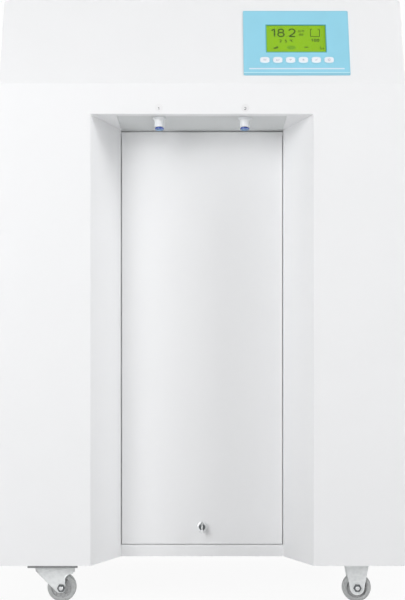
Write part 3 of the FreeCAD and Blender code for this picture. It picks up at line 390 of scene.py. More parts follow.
def closed(rings):
    """The rings, with the middle of the first and of the last as a ring of its own at either end."""
    first, last = (np.broadcast_to(rings[i].mean(0), rings[:1].shape) for i in (0, -1))
    return np.concatenate([first, rings, last])


def oval(radii, exponent, count=72):
    """Outline (a sgn(c) |c|^e, b sgn(s) |s|^e) with c = cos t and s = sin t; the smaller e, the squarer."""
    t = np.linspace(0, TURN, count, endpoint=False)
    wave = np.stack([np.cos(t), np.sin(t)], -1)
    return np.sign(wave) * np.abs(wave) ** exponent * radii


def layers(outline, shares, heights):
    """Rings: the outline times each share, at each height."""
    shares, heights = (np.array(v, float)[:, None, None] for v in (shares, heights))
    return np.concatenate([shares * outline, np.broadcast_to(heights, (len(heights), len(outline), 1))], 2)


def arc(centre, radii, start, end, count=18):
    """Points centre + (rx cos t, ry sin t), with t in degrees from start to end."""
    t = np.radians(np.linspace(start, end, count))
    return np.stack([centre[0] + radii[0] * np.cos(t), centre[1] + radii[1] * np.sin(t)], -1)


def even(points, count=24):
    """Points spaced evenly along a run of straight lines."""
    points = np.asarray(points, float)
    run = np.concatenate([[0], np.cumsum(np.linalg.norm(np.diff(points, axis=0), axis=1))])
    spots = np.unique(np.concatenate([np.linspace(0, run[-1], count), run]))
    return np.stack([np.interp(spots, run, points[:, i]) for i in range(2)], -1)


def rounded(corners, steps=5):
    """Profile through corners (r, h, radius): each corner becomes an arc tangent to its two sides,
    the rational curve ((1-t)^2 a + 2w t(1-t) b + t^2 c) / ((1-t)^2 + 2w t(1-t) + t^2)."""
    nearly_folded, nearly_straight, longest, shortest = 0.01, 1.55, 0.49, 1e-4
    points = np.array([c[:2] for c in corners], float)
    pieces = [points[:1]]
    for i in range(1, len(corners) - 1):
        spot, radius = points[i], (*corners[i], 0)[2]
        before, after = points[i - 1] - spot, points[i + 1] - spot
        sizes = np.linalg.norm(before), np.linalg.norm(after)
        before, after = before / sizes[0], after / sizes[1]
        half = math.acos(np.clip(before @ after, -1, 1)) / 2
        reach = min(radius / math.tan(half) if half > nearly_folded else 0, longest * min(sizes))
        if reach < shortest or half > nearly_straight:
            pieces.append(spot[None])
            continue
        t = np.linspace(0, 1, steps)[:, None]
        weight = math.sin(half)
        blend = (1 - t) ** 2 * (spot + before * reach) + 2 * weight * t * (1 - t) * spot \
            + t ** 2 * (spot + after * reach)
        pieces.append(blend / ((1 - t) ** 2 + 2 * weight * t * (1 - t) + t ** 2))
    pieces.append(points[-1:])
    return np.concatenate(pieces)


AXES = {name: np.roll(np.eye(3), -1 - i, axis=0) for i, name in enumerate("xyz")}


def turned(corners, base, axis, sign=1, steps=48, wave=None, smooth=5):
    """Surface of revolution: point (r, h) of the rounded profile goes to base + h axis + r (cos t, sin t).
    The profile, and the wave that changes r and h over t, are in millimetres."""
    profile = rounded(corners, smooth)
    t = np.linspace(0, TURN, steps, endpoint=False)[None, :]
    r, h = (np.broadcast_to(profile[:, i, None], (len(profile), steps)) for i in (0, 1))
    if wave:
        r, h = wave(r, h, t)
    across, up, along = AXES[axis]
    r, h = r * MM, sign * h[..., None] * MM
    return grid(np.array(base) + h * along
                + (r * np.cos(t))[..., None] * across + (r * np.sin(t))[..., None] * up)


def stadium(half, thick, flat):
    """Flat section with round ends: over the front, round one edge, over the back and round the other."""
    reach, radius = np.maximum(half - thick, 0)[:, None], np.minimum(half, thick)[:, None]
    s = np.linspace(-1, 1, flat)
    a = np.linspace(math.pi / 2, -math.pi / 2, 6)[1:-1]
    x = np.hstack([reach * s, reach + radius * np.cos(a)])
    y = np.hstack([radius * np.ones_like(s), radius * np.sin(a)])
    return np.hstack([x, -x]), np.hstack([y, -y])


def ribbon(path, width, height):
    """Printed stroke: a flat box section carried along a path of (u, v) points, all in millimetres."""
    step = np.gradient(path, axis=0)
    step /= np.maximum(np.linalg.norm(step, axis=1, keepdims=True), 1e-12)
    side = np.stack([-step[:, 1], step[:, 0]], -1) * width / 2
    rows = [np.hstack([path + sign * side, np.full((len(path), 1), level)])
            for sign, level in ((1, 0), (1, height), (-1, height), (-1, 0))]
    return grid(closed(np.stack(rows, 1)) * MM)


def disc(centre, radii, height, exponent=1.0):
    """Flat filled oval with a thin wall under its edge, in millimetres."""
    rings = layers(oval(radii, exponent, 32), (0, 0.5, 1, 1, 0), (height, height, height, 0, 0))
    return grid((rings + (*centre, 0)) * MM)


class Plane:
    """A flat place on the part: u across, v up and w out of it."""

    def __init__(self, origin, u, v, w):
        self.origin = np.array(origin, float)
        self.basis = np.array([u, v, w], float)

    def carry(self, shape, u=0, v=0, w=0):
        """A shape moved by (u, v, w), then summed along the plane's three directions from its origin."""
        points, faces = shape
        return (points + (u, v, w)) @ self.basis + self.origin, faces

    def spread(self, node):
        """Lowest and highest (u, v, w) of a solid."""
        local = (points_of(node) - self.origin) @ self.basis.T
        return local.min(0), local.max(0)


def upright(*origin):
    """Plane that faces the front."""
    return Plane(origin, (1, 0, 0), (0, 0, 1), (0, -1, 0))


# Pieces
CREASE, BEVEL_FROM, MERGE = 32, 40, 2e-6
finishes = {}


def placed(name, data):
    """A new object for a mesh or a lamp, linked to the scene."""
    made = bpy.data.objects.new(name, data)
    bpy.context.scene.collection.objects.link(made)
    return made


def settle(name, mesh, node, stands_in=True):
    """Puts a mesh on the body of a solid, and in its place or beside it."""
    made = placed(name, mesh)
    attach(made, frame["nodes"][node]["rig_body"])
    if stands_in:
        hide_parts(node)
    return made


def piece(name, shapes, finishes, node=None, stands_in=True, crease=CREASE):
    """Makes one mesh of the shapes, each a shape or a (shape, finish index) pair, and settles it on a
    solid or, without one, on the stage."""
    points, faces, marks, start = [], [], [], 0
    for shape, mark in [s if isinstance(s[1], int) else (s, 0) for s in shapes]:
        points.append(shape[0])
        faces.append(shape[1] + start)
        marks.append(np.full(len(shape[1]), mark, np.int32))
        start += len(shape[0])
    mesh = bpy.data.meshes.new(name)
    mesh.from_pydata(np.concatenate(points).tolist(), [], np.concatenate(faces).tolist())
    for finish in finishes:
        mesh.materials.append(finish)
    mesh.polygons.foreach_set("material_index", np.concatenate(marks))
    tidy(mesh, crease)
    if node:
        settle(name, mesh, node, stands_in)
    else:
        placed(name, mesh)


def tidy(mesh, crease=CREASE, flatten=False):
    """Merges doubled points, turns the faces outwards and smooths all edges but the sharp ones."""
    work = bmesh.new()
    work.from_mesh(mesh)
    bmesh.ops.remove_doubles(work, verts=work.verts, dist=MERGE)
    if flatten:
        bmesh.ops.dissolve_limit(work, angle_limit=math.radians(1.0), verts=work.verts, edges=work.edges)
    bmesh.ops.recalc_face_normals(work, faces=work.faces)
    work.to_mesh(mesh)
    work.free()
    mesh.shade_smooth()
    mesh.set_sharp_from_angle(angle=math.radians(crease))


def eased(finish, width_mm, *nodes):
    """Copies of solids with their sharp edges rounded."""
    for node in nodes:
        mesh = frame["nodes"][node].data.copy()
        mesh.name = node + "_eased"
        mesh.materials.clear()
        mesh.materials.append(finish)
        mesh.polygons.foreach_set("material_index", np.zeros(len(mesh.polygons), np.int32))
        tidy(mesh, flatten=True)
        fill(settle(mesh.name, mesh, node).modifiers.new("Eased edges", "BEVEL"), width=width_mm * MM,
             segments=2, limit_method="ANGLE", angle_limit=math.radians(BEVEL_FROM),
             use_clamp_overlap=True, harden_normals=True)


def dress(**looks):
    """Gives solids that keep their own shape their finishes."""
    for node, finish in looks.items():
        for holder in frame["nodes"][node].material_slots:
            holder.material = finish


def centre_of(node):
    """Middle of a solid's box."""
    low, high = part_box(node)
    return np.array((low + high) / 2)


def points_of(node):
    """Vertices of a solid, one row (x, y, z) each."""
    vertices = frame["nodes"][node].data.vertices
    points = np.empty(3 * len(vertices), np.float32)
    vertices.foreach_get("co", points)
    return points.reshape(-1, 3)


def console_plane():
    """Plane of the console film, its origin in the middle of the film's back."""
    up = (0, math.sin(LEAN), math.cos(LEAN))
    out = (0, -math.cos(LEAN), math.sin(LEAN))
    thick = bpy.context.scene.water_console.film_thickness
    return Plane(centre_of("control_overlay") - np.array(out) * thick / 2, (1, 0, 0), up, out)


class CabinetBuild(bpy.types.Operator):
    """Rounds the folded edges of the cabinet's sheets and powder-coats them"""
    bl_idname = "water.cabinet"
    bl_label = "Cabinet and door"

    def execute(self, context):
        coat = powder_coat("powder coat", "enamel")
        eased(coat, 0.7, "front_shell", "side_panel_left", "side_panel_right", "top_cover")
        eased(coat, 0.5, "rear_panel", "door_frame")
        eased(coat, 0.6, "access_door")
        # The outlet plate's coat is darker than the enamel: painted shade on the recess's ceiling
        eased(powder_coat("outlet plate coat", "ceiling"), 0.5, "outlet_plate")
        return {"FINISHED"}


class ScrewBuild(bpy.types.Operator):
    """Pan-head screws of the rear panel, each a turned dome with a cross recess"""
    bl_idname = "water.screws"
    bl_label = "Panel screws"

    def execute(self, context):
        height, radius, apart = 2.4 * MM, 4 * MM, 20 * MM
        low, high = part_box("panel_screws")
        points = points_of("panel_screws")
        tops = np.sort(points[points[:, 1] > high.y - 0.1 * MM, 2])
        groups = np.split(tops, np.where(np.diff(tops) > apart)[0] + 1)
        seat = high.y - height
        profile = [(0, 2.4), (0.5, 2.4), (1, 2.38), (1.5, 2.32), (2.1, 2.2), (2.3, 2.15), (2.8, 1.95, 0.5),
                   (4, 1.2, 0.8), (4, 0, 0.1), (2, 0), (2, -10, 0.4), (0, -10)]

        def cross(r, h, t):
            """Sinks h by 1.1 mm inside two crossed slots 0.9 mm wide and 4.4 mm long."""
            x, z = np.abs(r * np.cos(t)), np.abs(r * np.sin(t))
            inside = (np.minimum(x, z) < 0.45) & (np.maximum(x, z) < 2.2) & (h > 1)
            return r, np.where(inside, h - 1.1, h)

        piece("panel_screw_heads",
              [turned(profile, (x, seat, (group[0] + group[-1]) / 2), "y", wave=cross, steps=40)
               for x in (low.x + radius, high.x - radius) for group in groups],
              [finishes["steel"]], "panel_screws")
        return {"FINISHED"}


class OutletBuild(bpy.types.Operator):
    """Turned fittings with moulded grips, their blue release collars, and the numbered labels"""
    bl_idname = "water.outlets"
    bl_label = "Water outlets"

    def execute(self, context):
        white = moulded("outlet plastic", "plastic", 0.25, coat=0.2)
        blues = [moulded("collar plastic", "collar", 0.18, coat=0.5),
                 moulded("collar face plastic", "collar_face", 0.2, coat=0.5)]
        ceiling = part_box("outlet_plate")[0].z

        def grip(r, h, t):
            """Eight shallow slots: r drops where cos 8t is high, along the middle of the body."""
            along = share(h - 4.5) * share(12 - h)
            slot = share(np.cos(8 * t) * 4 - 2.6)
            return np.where(r > 7.8, r - 0.55 * along * slot, r), h

        def notch(r, h, t):
            """Two finger notches in the collar's rim."""
            return np.where(r > 7, r * (1 - 0.05 * share(np.cos(2 * t) * 6 - 5)), r), h

        body = [(4.9, -22), (7.4, -22, 0.4), (7.4, 0), (11.8, 0, 0.3), (11.8, 2.5, 0.9), (9.3, 2.6, 0.6),
                (8.6, 5, 1.5), (8.2, 9, 3), (8.5, 13.5, 3), (8.5, 16.45, 1.1), (6.12, 16.45, 0.3),
                (6.12, 5.3), (4.9, 5.3), (4.9, -22)]
        outside = [(6, 7.1), (6, 18.1, 0.2), (8.2, 18.1, 0.3), (8.2, 19.9, 0.6), (7.8, 20.25)]
        face = [(7.8, 20.25), (6.6, 20.3, 0.5), (5.5, 19.2, 0.6), (4.85, 18.2, 0.3), (4.85, 7.1), (6, 7.1)]
        fittings = []
        for side in ("left", "right"):
            node = "release_collar_" + side
            base = (*centre_of(node)[:2], ceiling)
            fittings.append(turned(body, base, "z", -1, 64, grip))
            piece("collar_" + side, [(turned(part, base, "z", -1, 64, notch), index)
                                     for index, part in enumerate((outside, face))], blues, node)
        piece("outlet_bodies", fittings, [white], "outlet_fittings")
        dress(outlet_nuts=white, outlet_labels=moulded("label film", (0.84, 0.84, 0.85), 0.4))
        self.numbers()
        return {"FINISHED"}

    def numbers(self):
        """Plain 1 and 2, each at the same place on its round label."""
        low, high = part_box("outlet_labels")
        radius, left, down = 6.8 * MM, -1.5 * MM, -3.4 * MM
        marks = []
        for digit, x in (("1", low.x), ("2", high.x)):
            face = upright(x + math.copysign(radius, -x), low.y - 0.01 * MM, (low.z + high.z) / 2)
            marks += [face.carry(ribbon(path, 0.8, 0.04), left, down)
                      for path in figure(digit, 3.0, 4.2)]
        piece("outlet_numbers", marks, [ink("label ink", (0.12, 0.12, 0.13))], "outlet_labels", False)


def figure(sign, w, h):
    """Strokes of a plain figure: straight runs and arcs in a box w wide and h high."""
    def at(x, y):
        return w * x, h * y

    shapes = {
        "0": [arc(at(0.5, 0.5), at(0.5, 0.5), 90, 450, 33)],
        "1": [even([at(0.12, 0.78), at(0.6, 1), at(0.6, 0)])],
        "2": [np.concatenate([arc(at(0.5, 0.7), at(0.48, 0.3), 165, -35),
                              even([at(0.82, 0.44), at(0.02, 0), at(1, 0)], 14)])],
        "5": [np.concatenate([even([at(0.9, 1), at(0.15, 1), at(0.08, 0.55)], 10),
                              arc(at(0.45, 0.32), at(0.5, 0.32), 125, -150)])],
        "8": [arc(at(0.5, 0.27), at(0.5, 0.27), 90, 450, 28),
              arc(at(0.5, 0.745), at(0.42, 0.235), -90, 270, 28)],
    }
    return shapes[sign]


class LockBuild(bpy.types.Operator):
    """Turned lock face with its rounded lip, and the key with eased edges"""
    bl_idname = "water.lock"
    bl_label = "Door lock"

    def execute(self, context):
        low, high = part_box("lock_housing")
        x, _, z = centre_of("lock_housing")
        deep = (high.y - low.y) / MM
        profile = [(5.55, 0.9), (5.9, 0.35, 0.2), (7.2, 0.1, 0.8), (9.1, 0.5, 1.2), (9.75, 1.7, 0.6),
                   (9.75, 3, 0.15), (8, 3), (8, deep), (5.55, deep), (5.55, 0.9)]
        piece("lock_face", [turned(profile, (x, low.y, z), "y", steps=72)],
              [polished("satin chrome", "chrome", 0.34, 0.5)], "lock_housing")
        mark = disc((0, 0), (2.5, 1.5), 0.06)
        piece("lock_index_mark", [upright(x, low.y + 0.1 * MM, z + 7.3 * MM).carry(mark)],
              [ink("index mark", (0.16, 0.18, 0.18))], "lock_housing", False)
        eased(finishes["chrome"], 0.35, "lock_key")
        # The plug takes the dark finish as painted shade: it stands in for the key's shadow in the keyway
        eased(finishes["dark steel"], 0.25, "lock_plug")
        eased(finishes["steel"], 0.4, "lock_cam")
        eased(finishes["steel"], 0.25, "lock_nut", "pivot_pins")
        dress(pivot_bushes=moulded("bush plastic", (0.75, 0.76, 0.76)))
        return {"FINISHED"}


class ConsoleBuild(bpy.types.Operator):
    """Console film, display with its figures, and the board behind"""
    bl_idname = "water.console"
    bl_label = "Console"

    def execute(self, context):
        plane = console_plane()
        film_low, film_high = plane.spread("control_overlay")
        low, high = plane.spread("display_window")
        window = (*(low + high)[:2] / 2, *(high - low)[:2])
        film = console_film("console film", "film", "film_line", plane, window, film_high - film_low)
        eased(film, 0.25, "control_overlay")
        dress(display_window=clear("display window", (0.25, 0.5, 0.02), 0.12),
              display_module=lit_display("lit display", "lcd"),
              control_board=printed_board("board", (0.03, 0.2, 0.08)))
        corner = low[0], high[1], plane.spread("display_module")[1][2] + 0.02 * MM
        piece("display_figures", [(plane.carry(shape, *corner), mark)
                                  for shape, mark in self.figures(context.scene.water_console)],
              [ink("display ink", "lcd_ink"), ink("faint ink", (0.2, 0.44, 0.02))],
              "display_module", False)
        return {"FINISHED"}

    def figures(self, settings):
        """Figures and signs, in millimetres right of and below the window's top left corner."""
        shapes, high = [], settings.ink_height / MM

        def at(x, y, width, *paths):
            shapes.extend((ribbon(path + (x, -y), width, high), 0) for path in paths)

        def line(*points, count=4):
            return even(points, count)

        for sign, x in (("1", 7.6), ("8", 19.8), ("2", 38.8)):
            at(x, 21.9, settings.stroke / MM, *figure(sign, 10.6, 15.2))
        at(35, 22, 1.4, line((0, 0), (0.9, 0)))
        for row, y in enumerate((13.4, 20.6)):
            at(61 - 5 * row, y, 1.1, arc((2.2, 2.2), (1.6, 1.9), -60, 240))
            at(56 + 4 * row, y, 1.2, line((0, 0), (0, 4.4)))
            at(58.4 + 4.4 * row, y, 1.2, line((0, 0), (0, 4.4)))
        at(76.2, 22, 1.3,
           line((3.2, 14.6), (0, 14.6), (0, 0), (15.6, 0), (15.6, 14.6), (12.4, 14.6), count=40))
        for index, sign in enumerate("100"):
            at(77.2 + 5 * index, 32, 1.4, *figure(sign, 3.2, 5.0))
        at(22.4, 33.4, 1.1, *figure("2", 3.0, 4.8))
        at(31.8, 33.6, 1.1, *figure("5", 3.0, 4.8))
        at(40.2, 33, 0.9, arc((1.3, 3.6), (1.0, 1.0), 0, 360), arc((4.2, 2.2), (1.6, 2.0), 50, 310))
        at(65, 43.6, 1.8, line((0, 0), (6.4, 0)))
        at(92.6, 47, 1.1, line((0, 5.4), (0, 0), (5.4, 0), (5.4, 2.6), count=20))
        blots = (14.4, 45.4, 3.0, 1.8, 1.25, 0), (18, 43.8, 2.2, 2.2, 1.25, 0), (42.4, 44.2, 7.8, 4.0, 1, 1)
        return shapes + [(disc((x, -y), (a, b), high, exponent), mark)
                         for x, y, a, b, exponent, mark in blots]


class KeyBuild(bpy.types.Operator):
    """Embossed caps: oval rings that rise on a rounded shoulder to a crowned middle, each with its sign"""
    bl_idname = "water.keys"
    bl_label = "Console keys"

    squareness, flat_share = 0.62, 0.86     # exponent of the outline, share of it before the shoulder
    margin, shoulder, sunk = 1.4 * MM, 0.9 * MM, 0.1 * MM
    sign_width = 0.6                        # millimetres
    signs = (
        [[(-2.6, 0.9), (2.6, 0.9)], [(-2.6, -0.9), (2.6, -0.9)]],
        [[(2.4, 1.2), (2.4, -0.9), (-2.4, -0.9)], [(-1.2, 0.2), (-2.4, -0.9), (-1.2, -2.0)]],
        [[(-1.6, 0.9), (0, -1.3), (1.6, 0.9), (-1.6, 0.9)]],
        [[(-1.6, -0.9), (0, 1.3), (1.6, -0.9), (-1.6, -0.9)]],
        [[(-2.2, 0.2), (-0.6, -1.3), (2.2, 1.5)]],
        [[(0, 2.2), (0, 0.3)]],
    )

    def execute(self, context):
        plane = console_plane()
        settings = context.scene.water_console
        films = [moulded(name, tone, 0.35, 0.5 * MM, 0.006 * MM)
                 for name, tone in (("key film", "cap"), ("key shoulder film", "cap_edge"))]
        print_ink = ink("key ink", "cap_ink")
        top = settings.film_thickness + settings.key_rise
        for key, runs in enumerate(self.signs, 1):
            node = "panel_key_%d" % key
            low, high = plane.spread(node)
            middle = (low + high)[:2] / 2
            half = (high - low)[:2] / 2 - self.margin
            caps = [(plane.carry(self.cap(half, top, settings.key_crown, rows), *middle), edge)
                    for edge, rows in enumerate((slice(0, 8), slice(7, None)))]
            piece("key_cap_%d" % key, caps, films, node, crease=50)
            paths = [even(run, 14) for run in runs]
            if key == len(self.signs):
                paths.append(arc((0, 0), (1.8, 1.8), 120, 420, 24))
            marks = [self.on_cap(ribbon(path, self.sign_width, settings.ink_height / MM), half, top, settings)
                     for path in paths]
            piece("key_sign_%d" % key, [plane.carry(m, *middle) for m in marks], [print_ink], node, False)
        return {"FINISHED"}

    def cap(self, half, top, crown, rows):
        """Rows of the outline scaled by k, at heights top - crown k^2, then round the shoulder and down."""
        flat = self.flat_share
        k = np.linspace(0, flat, 7)
        turn = np.linspace(0, math.pi / 2, 6)[1:]
        shares = np.concatenate([k, flat + (1 - flat) * np.sin(turn), [1, 0]])
        drop = top - crown * flat ** 2 - self.shoulder * (1 - np.cos(turn))
        heights = np.concatenate([top - crown * k ** 2, drop, [-self.sunk, -self.sunk]])
        return grid(layers(oval(half, self.squareness), shares, heights)[rows])

    def on_cap(self, shape, half, top, settings):
        """Lifts a flat mark by top - crown (|x/a|^2 + |y/b|^2), and sinks its foot in the cap."""
        points = shape[0].copy()
        squares = ((points[:, :2] / half) ** 2).sum(1)
        points[:, 2] += top - settings.key_crown * squares - settings.ink_height * 0.3
        return points, shape[1]


class CasterBuild(bpy.types.Operator):
    """Swept swivel forks, stepped fixed brackets, ribbed wheels and their axle bolts"""
    bl_idname = "water.casters"
    bl_label = "Casters"

    # Millimetres: from the axle to the kingpin; to a leg's middle, half its thickness, to its outer face
    pivot, leg_middle, leg_half, half_width = -12.0, 13, 1.0, 14

    def execute(self, context):
        zinc = finishes["zinc"]
        rubber = [tyre_rubber("tyre", "tyre"), moulded("wheel core", "core", 0.45)]
        metals = [finishes["dark steel"], finishes["steel"]]
        settings = context.scene.water_caster
        bolts, brackets = [], []
        for kind in ("swivel", "rigid"):
            for end in ("front", "rear"):
                node = "%s_wheel_%s" % (kind, end)
                hub = centre_of(node)
                piece("%s_roller_%s" % (kind, end), self.wheel(hub, settings), rubber, node)
                if kind == "rigid":
                    bolts += self.bolt(hub)
                    brackets += self.bracket(hub, settings)
                    continue
                fork = "swivel_fork_" + end
                piece("fork_" + end, self.fork(fork, hub, settings), [zinc], fork)
                piece("axle_bolt_" + end, self.bolt(hub), metals, "swivel_axle_" + end)
        piece("fixed_axle_bolts", bolts, metals, "rigid_axles")
        piece("fixed_brackets", brackets, [zinc], "rigid_brackets")
        # The swivel plates are the zinc darkened to 0.4 of it: painted shade for their edges in the shadow
        # under the cabinet
        eased(plated("caster plate", shade("zinc", 0.4)), 0.4, "swivel_plates")
        return {"FINISHED"}

    def wheel(self, hub, settings):
        """Turned tread and turned core; ribs lift the core's dish where cos(n t) is high."""
        def looped(near, *middle):
            """Closed outline: one side, the middle, that side again with h turned over, and its start."""
            return [*near, *middle, *((r, -h, *rest) for r, h, *rest in near[::-1]), near[0]]

        tread = looped([(17.8, -10, 0.3), (18.4, -10, 0.4), (21, -10, 0.6), (24.2, -8.6, 1.8), (25, -5, 3)],
                       (25, 0))
        core = looped([(4.05, -11.7), (8.2, -11.7, 0.5), (9, -10.4, 0.5), (9.3, -7.2, 0.8), (12, -7, 1),
                       (16.6, -7, 0.6), (17.4, -9.4, 0.4), (17.8, -9.4)])

        def ribs(r, h, t):
            dish = (r > 9.2) & (r < 17)
            lift = settings.rib / MM * share(np.cos(settings.rib_count * t) * 5 - 3.6)
            return r, np.where(dish, h + np.sign(h) * lift, h)

        return [(turned(tread, hub, "y", steps=96, smooth=7), 0),
                (turned(core, hub, "y", steps=96, wave=ribs), 1)]

    def about(self, hub, *coordinates):
        """Points from x, y and z in millimetres, set about the hub in x and y."""
        return np.stack(np.broadcast_arrays(*coordinates), -1) * MM + (hub[0], hub[1], 0)

    def legs(self, heights, lead, trail, hub, relief):
        """Two legs of pressed sheet: at each height a flat round-edged section runs from lead to trail,
        and relief(distance from its edge, height over the hub) lifts both of its faces outwards."""
        half = (trail - lead) / 2
        x, y = stadium(half, self.leg_half, 22)
        z = heights[:, None]
        depth = y + self.leg_middle + relief(half[:, None] - np.abs(x), z - hub[2] / MM)
        return [grid(self.about(hub, x + ((trail + lead) / 2)[:, None], side * depth, z)) for side in (-1, 1)]

    def fork(self, node, hub, settings):
        """Leading edge: down from the crown, a slant at 45 degrees and an arc of radius sweep into the foot.
        Trailing edge: an arc of radius toe out of the foot, straight up, then a quarter oval to the crown."""
        low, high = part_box(node)
        left, right = (low.x - hub[0]) / MM + 0.1, (high.x - hub[0]) / MM - 0.1
        top, foot, reach, straight, sweep, toe = high.z / MM, 16.55, 9.8, 6.8, 9, 5
        arch_low, arch_high = top - 22, top - 13
        quarter = math.pi / 2
        heights = np.concatenate([foot + toe * (1 - np.cos(np.linspace(0, quarter, 14))),
                                  np.linspace(foot + toe + 1, arch_low, 14),
                                  arch_low + (arch_high - arch_low) * np.sin(np.linspace(0.08, quarter, 14)),
                                  np.linspace(arch_high + 0.8, top - 0.6, 7)])
        middle = foot + sweep
        rounding = sweep * math.sqrt(2) - (middle - reach) - circle(sweep, heights - middle)
        slant = heights >= middle - sweep * math.sqrt(0.5)
        lead = np.maximum(np.where(slant, reach - heights, rounding), left)
        rise = share((heights - arch_low) / (arch_high - arch_low))
        flare = straight + (right - straight) * (1 - circle(1, rise))
        above_toe = heights - foot - toe
        tip = straight - toe + circle(toe, np.minimum(above_toe, 0))
        trail = np.where(above_toe < 0, tip, np.maximum(np.minimum(tip, straight), flare))

        def rim(edge, z):
            """Rim raised where the distance from either edge is under 2.2 mm."""
            return settings.flange / MM * share(1 - edge / 2.2) ** 2 - 0.5

        kingpin = (hub[0] + self.pivot * MM, hub[1], (top - 4.4) * MM)
        race = [(5.2, 0), (24, 0, 0.5), (26.6, 1.6, 1), (26.6, 4.3, 0.5), (5.2, 4.3), (5.2, 0)]
        return [*self.legs(heights, lead, trail, hub, rim), self.crown(hub, left, right, top),
                turned(race, kingpin, "z", steps=64)]

    def crown(self, hub, left, right, top):
        """Flat bridge over the legs; its half width follows the legs or, near the kingpin, a disc."""
        disc_radius, corner, half_thick = 26.5, 1.5, 1.25
        x = np.linspace(left, right, 41)
        half = np.maximum(self.half_width, circle(disc_radius, x - self.pivot))
        ends = share(np.minimum(x - left, right - x) / corner)
        half = half - corner * (1 - circle(1, 1 - ends))
        y, z = stadium(half, half_thick, 16)
        return grid(closed(self.about(hub, x[:, None], y, z + top - half_thick)))

    def bracket(self, hub, settings):
        """Tapered legs that step in above the axle, under a flat plate with round corners."""
        top, axle, radius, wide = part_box("rigid_brackets")[1].z / MM - 2.6, hub[2] / MM, 12.7, 21
        heights = np.concatenate([axle - radius * np.cos(np.linspace(0, math.pi / 2, 16)),
                                  np.linspace(axle + 1, top, 24)])
        taper = radius + (wide - radius) * share((heights - axle) / (top - axle))
        half = np.where(heights < axle, circle(radius, heights - axle), taper)

        def step(edge, z):
            """Steps in by the dimple above a level line, and rises a little at the rim."""
            rise = share((z - 13) / 2.5)
            lip = share(1 - edge / 2) ** 2
            return -settings.dimple / MM * rise * rise * (3 - 2 * rise) * (1 - 0.6 * lip) + 0.2 * lip

        return [*self.legs(heights, -half, half, hub, step),
                self.slab(hub, wide, self.half_width, top - 2.3, top), self.slab(hub, 22, 40, top, top + 2.5)]

    def slab(self, hub, half_x, half_y, low, high):
        """Plate with an oval-cornered outline |x/a|^8 + |y/b|^8 = 1 and eased edges."""
        edge = 0.4
        shares = (0, 0.5, 1 - edge / half_x, 1, 1, 1 - edge / half_x, 0.5, 0)
        levels = (low, low, low, low + edge, high - edge, high, high, high)
        return grid(layers(oval((half_x, half_y), 0.25), shares, levels) * MM + (hub[0], hub[1], 0))

    def bolt(self, hub):
        """Hexagon nuts with turned chamfers: the radius is the smaller of the hexagon's and the cone's."""
        def hexagon(r, h, t):
            flat = 6.2 / np.cos((t + math.pi / 6) % (math.pi / 3) - math.pi / 6)
            cone = 7.2 - np.maximum(h - 3.9, 0) * 1.2
            return np.where(r > 5.8, np.minimum(flat, cone), r), h

        half = self.half_width
        nut = [(3.6, 5), (5.6, 5), (6.9, 5.0), (7.0, 4.4), (7.1, 3.9), (7.1, 2), (7.1, 0), (5, 0), (0, 0)]
        end = [(0, 6.4), (2.6, 6.4, 0.4), (3.6, 5.7, 0.3), (3.6, 5)]
        shapes = []
        for side in (-1, 1):
            seat = hub + np.array([0, side * half * MM, 0])
            shapes += [(turned(nut, seat, "y", side, 96, hexagon, 3), 0),
                       (turned(end, seat, "y", side, 96), 1)]
        return shapes + [(turned([(0, -half), (4, -half), (4, half), (0, half)], hub, "y", steps=32), 1)]


class TreatmentBuild(bpy.types.Operator):
    """Finishes of the cartridges, vessels and machines behind the door"""
    bl_idname = "water.treatment"
    bl_label = "Water treatment"

    def execute(self, context):
        white = moulded("vessel plastic", "plastic", 0.3)
        eased(white, 0.8, "purification_columns")
        eased(white, 0.6, "membrane_housings")
        eased(moulded("filter head plastic", (0.03, 0.16, 0.5), 0.3), 1.0, "prefilter_heads")
        eased(finishes["zinc"], 0.5, "base_tray", "mounting_plate", "vessel_clips")
        eased(powder_coat("pump paint", (0.2, 0.21, 0.22)), 1.2, "booster_pump")
        eased(plated("supply case", (0.55, 0.56, 0.57), 0.01, 0.35), 0.6, "power_supply")
        dress(prefilter_bowls=clear("filter bowl", (0.75, 0.86, 0.95), 0.3),
              filter_elements=wound_yarn("wound cartridge", (0.82, 0.8, 0.74)),
              uv_chamber=plated("stainless tube", (0.62, 0.62, 0.63), 0.02, 0.22, 0.9),
              ultrafilter=moulded("grey plastic", (0.5, 0.52, 0.55)),
              solenoid_valves=moulded("valve plastic", (0.5, 0.52, 0.55)),
              connecting_tubes=moulded("tube plastic", (0.8, 0.83, 0.86), 0.2),
              pressure_tank=moulded("tank enamel", (0.65, 0.72, 0.8), 0.25, coat=0.3))
        return {"FINISHED"}


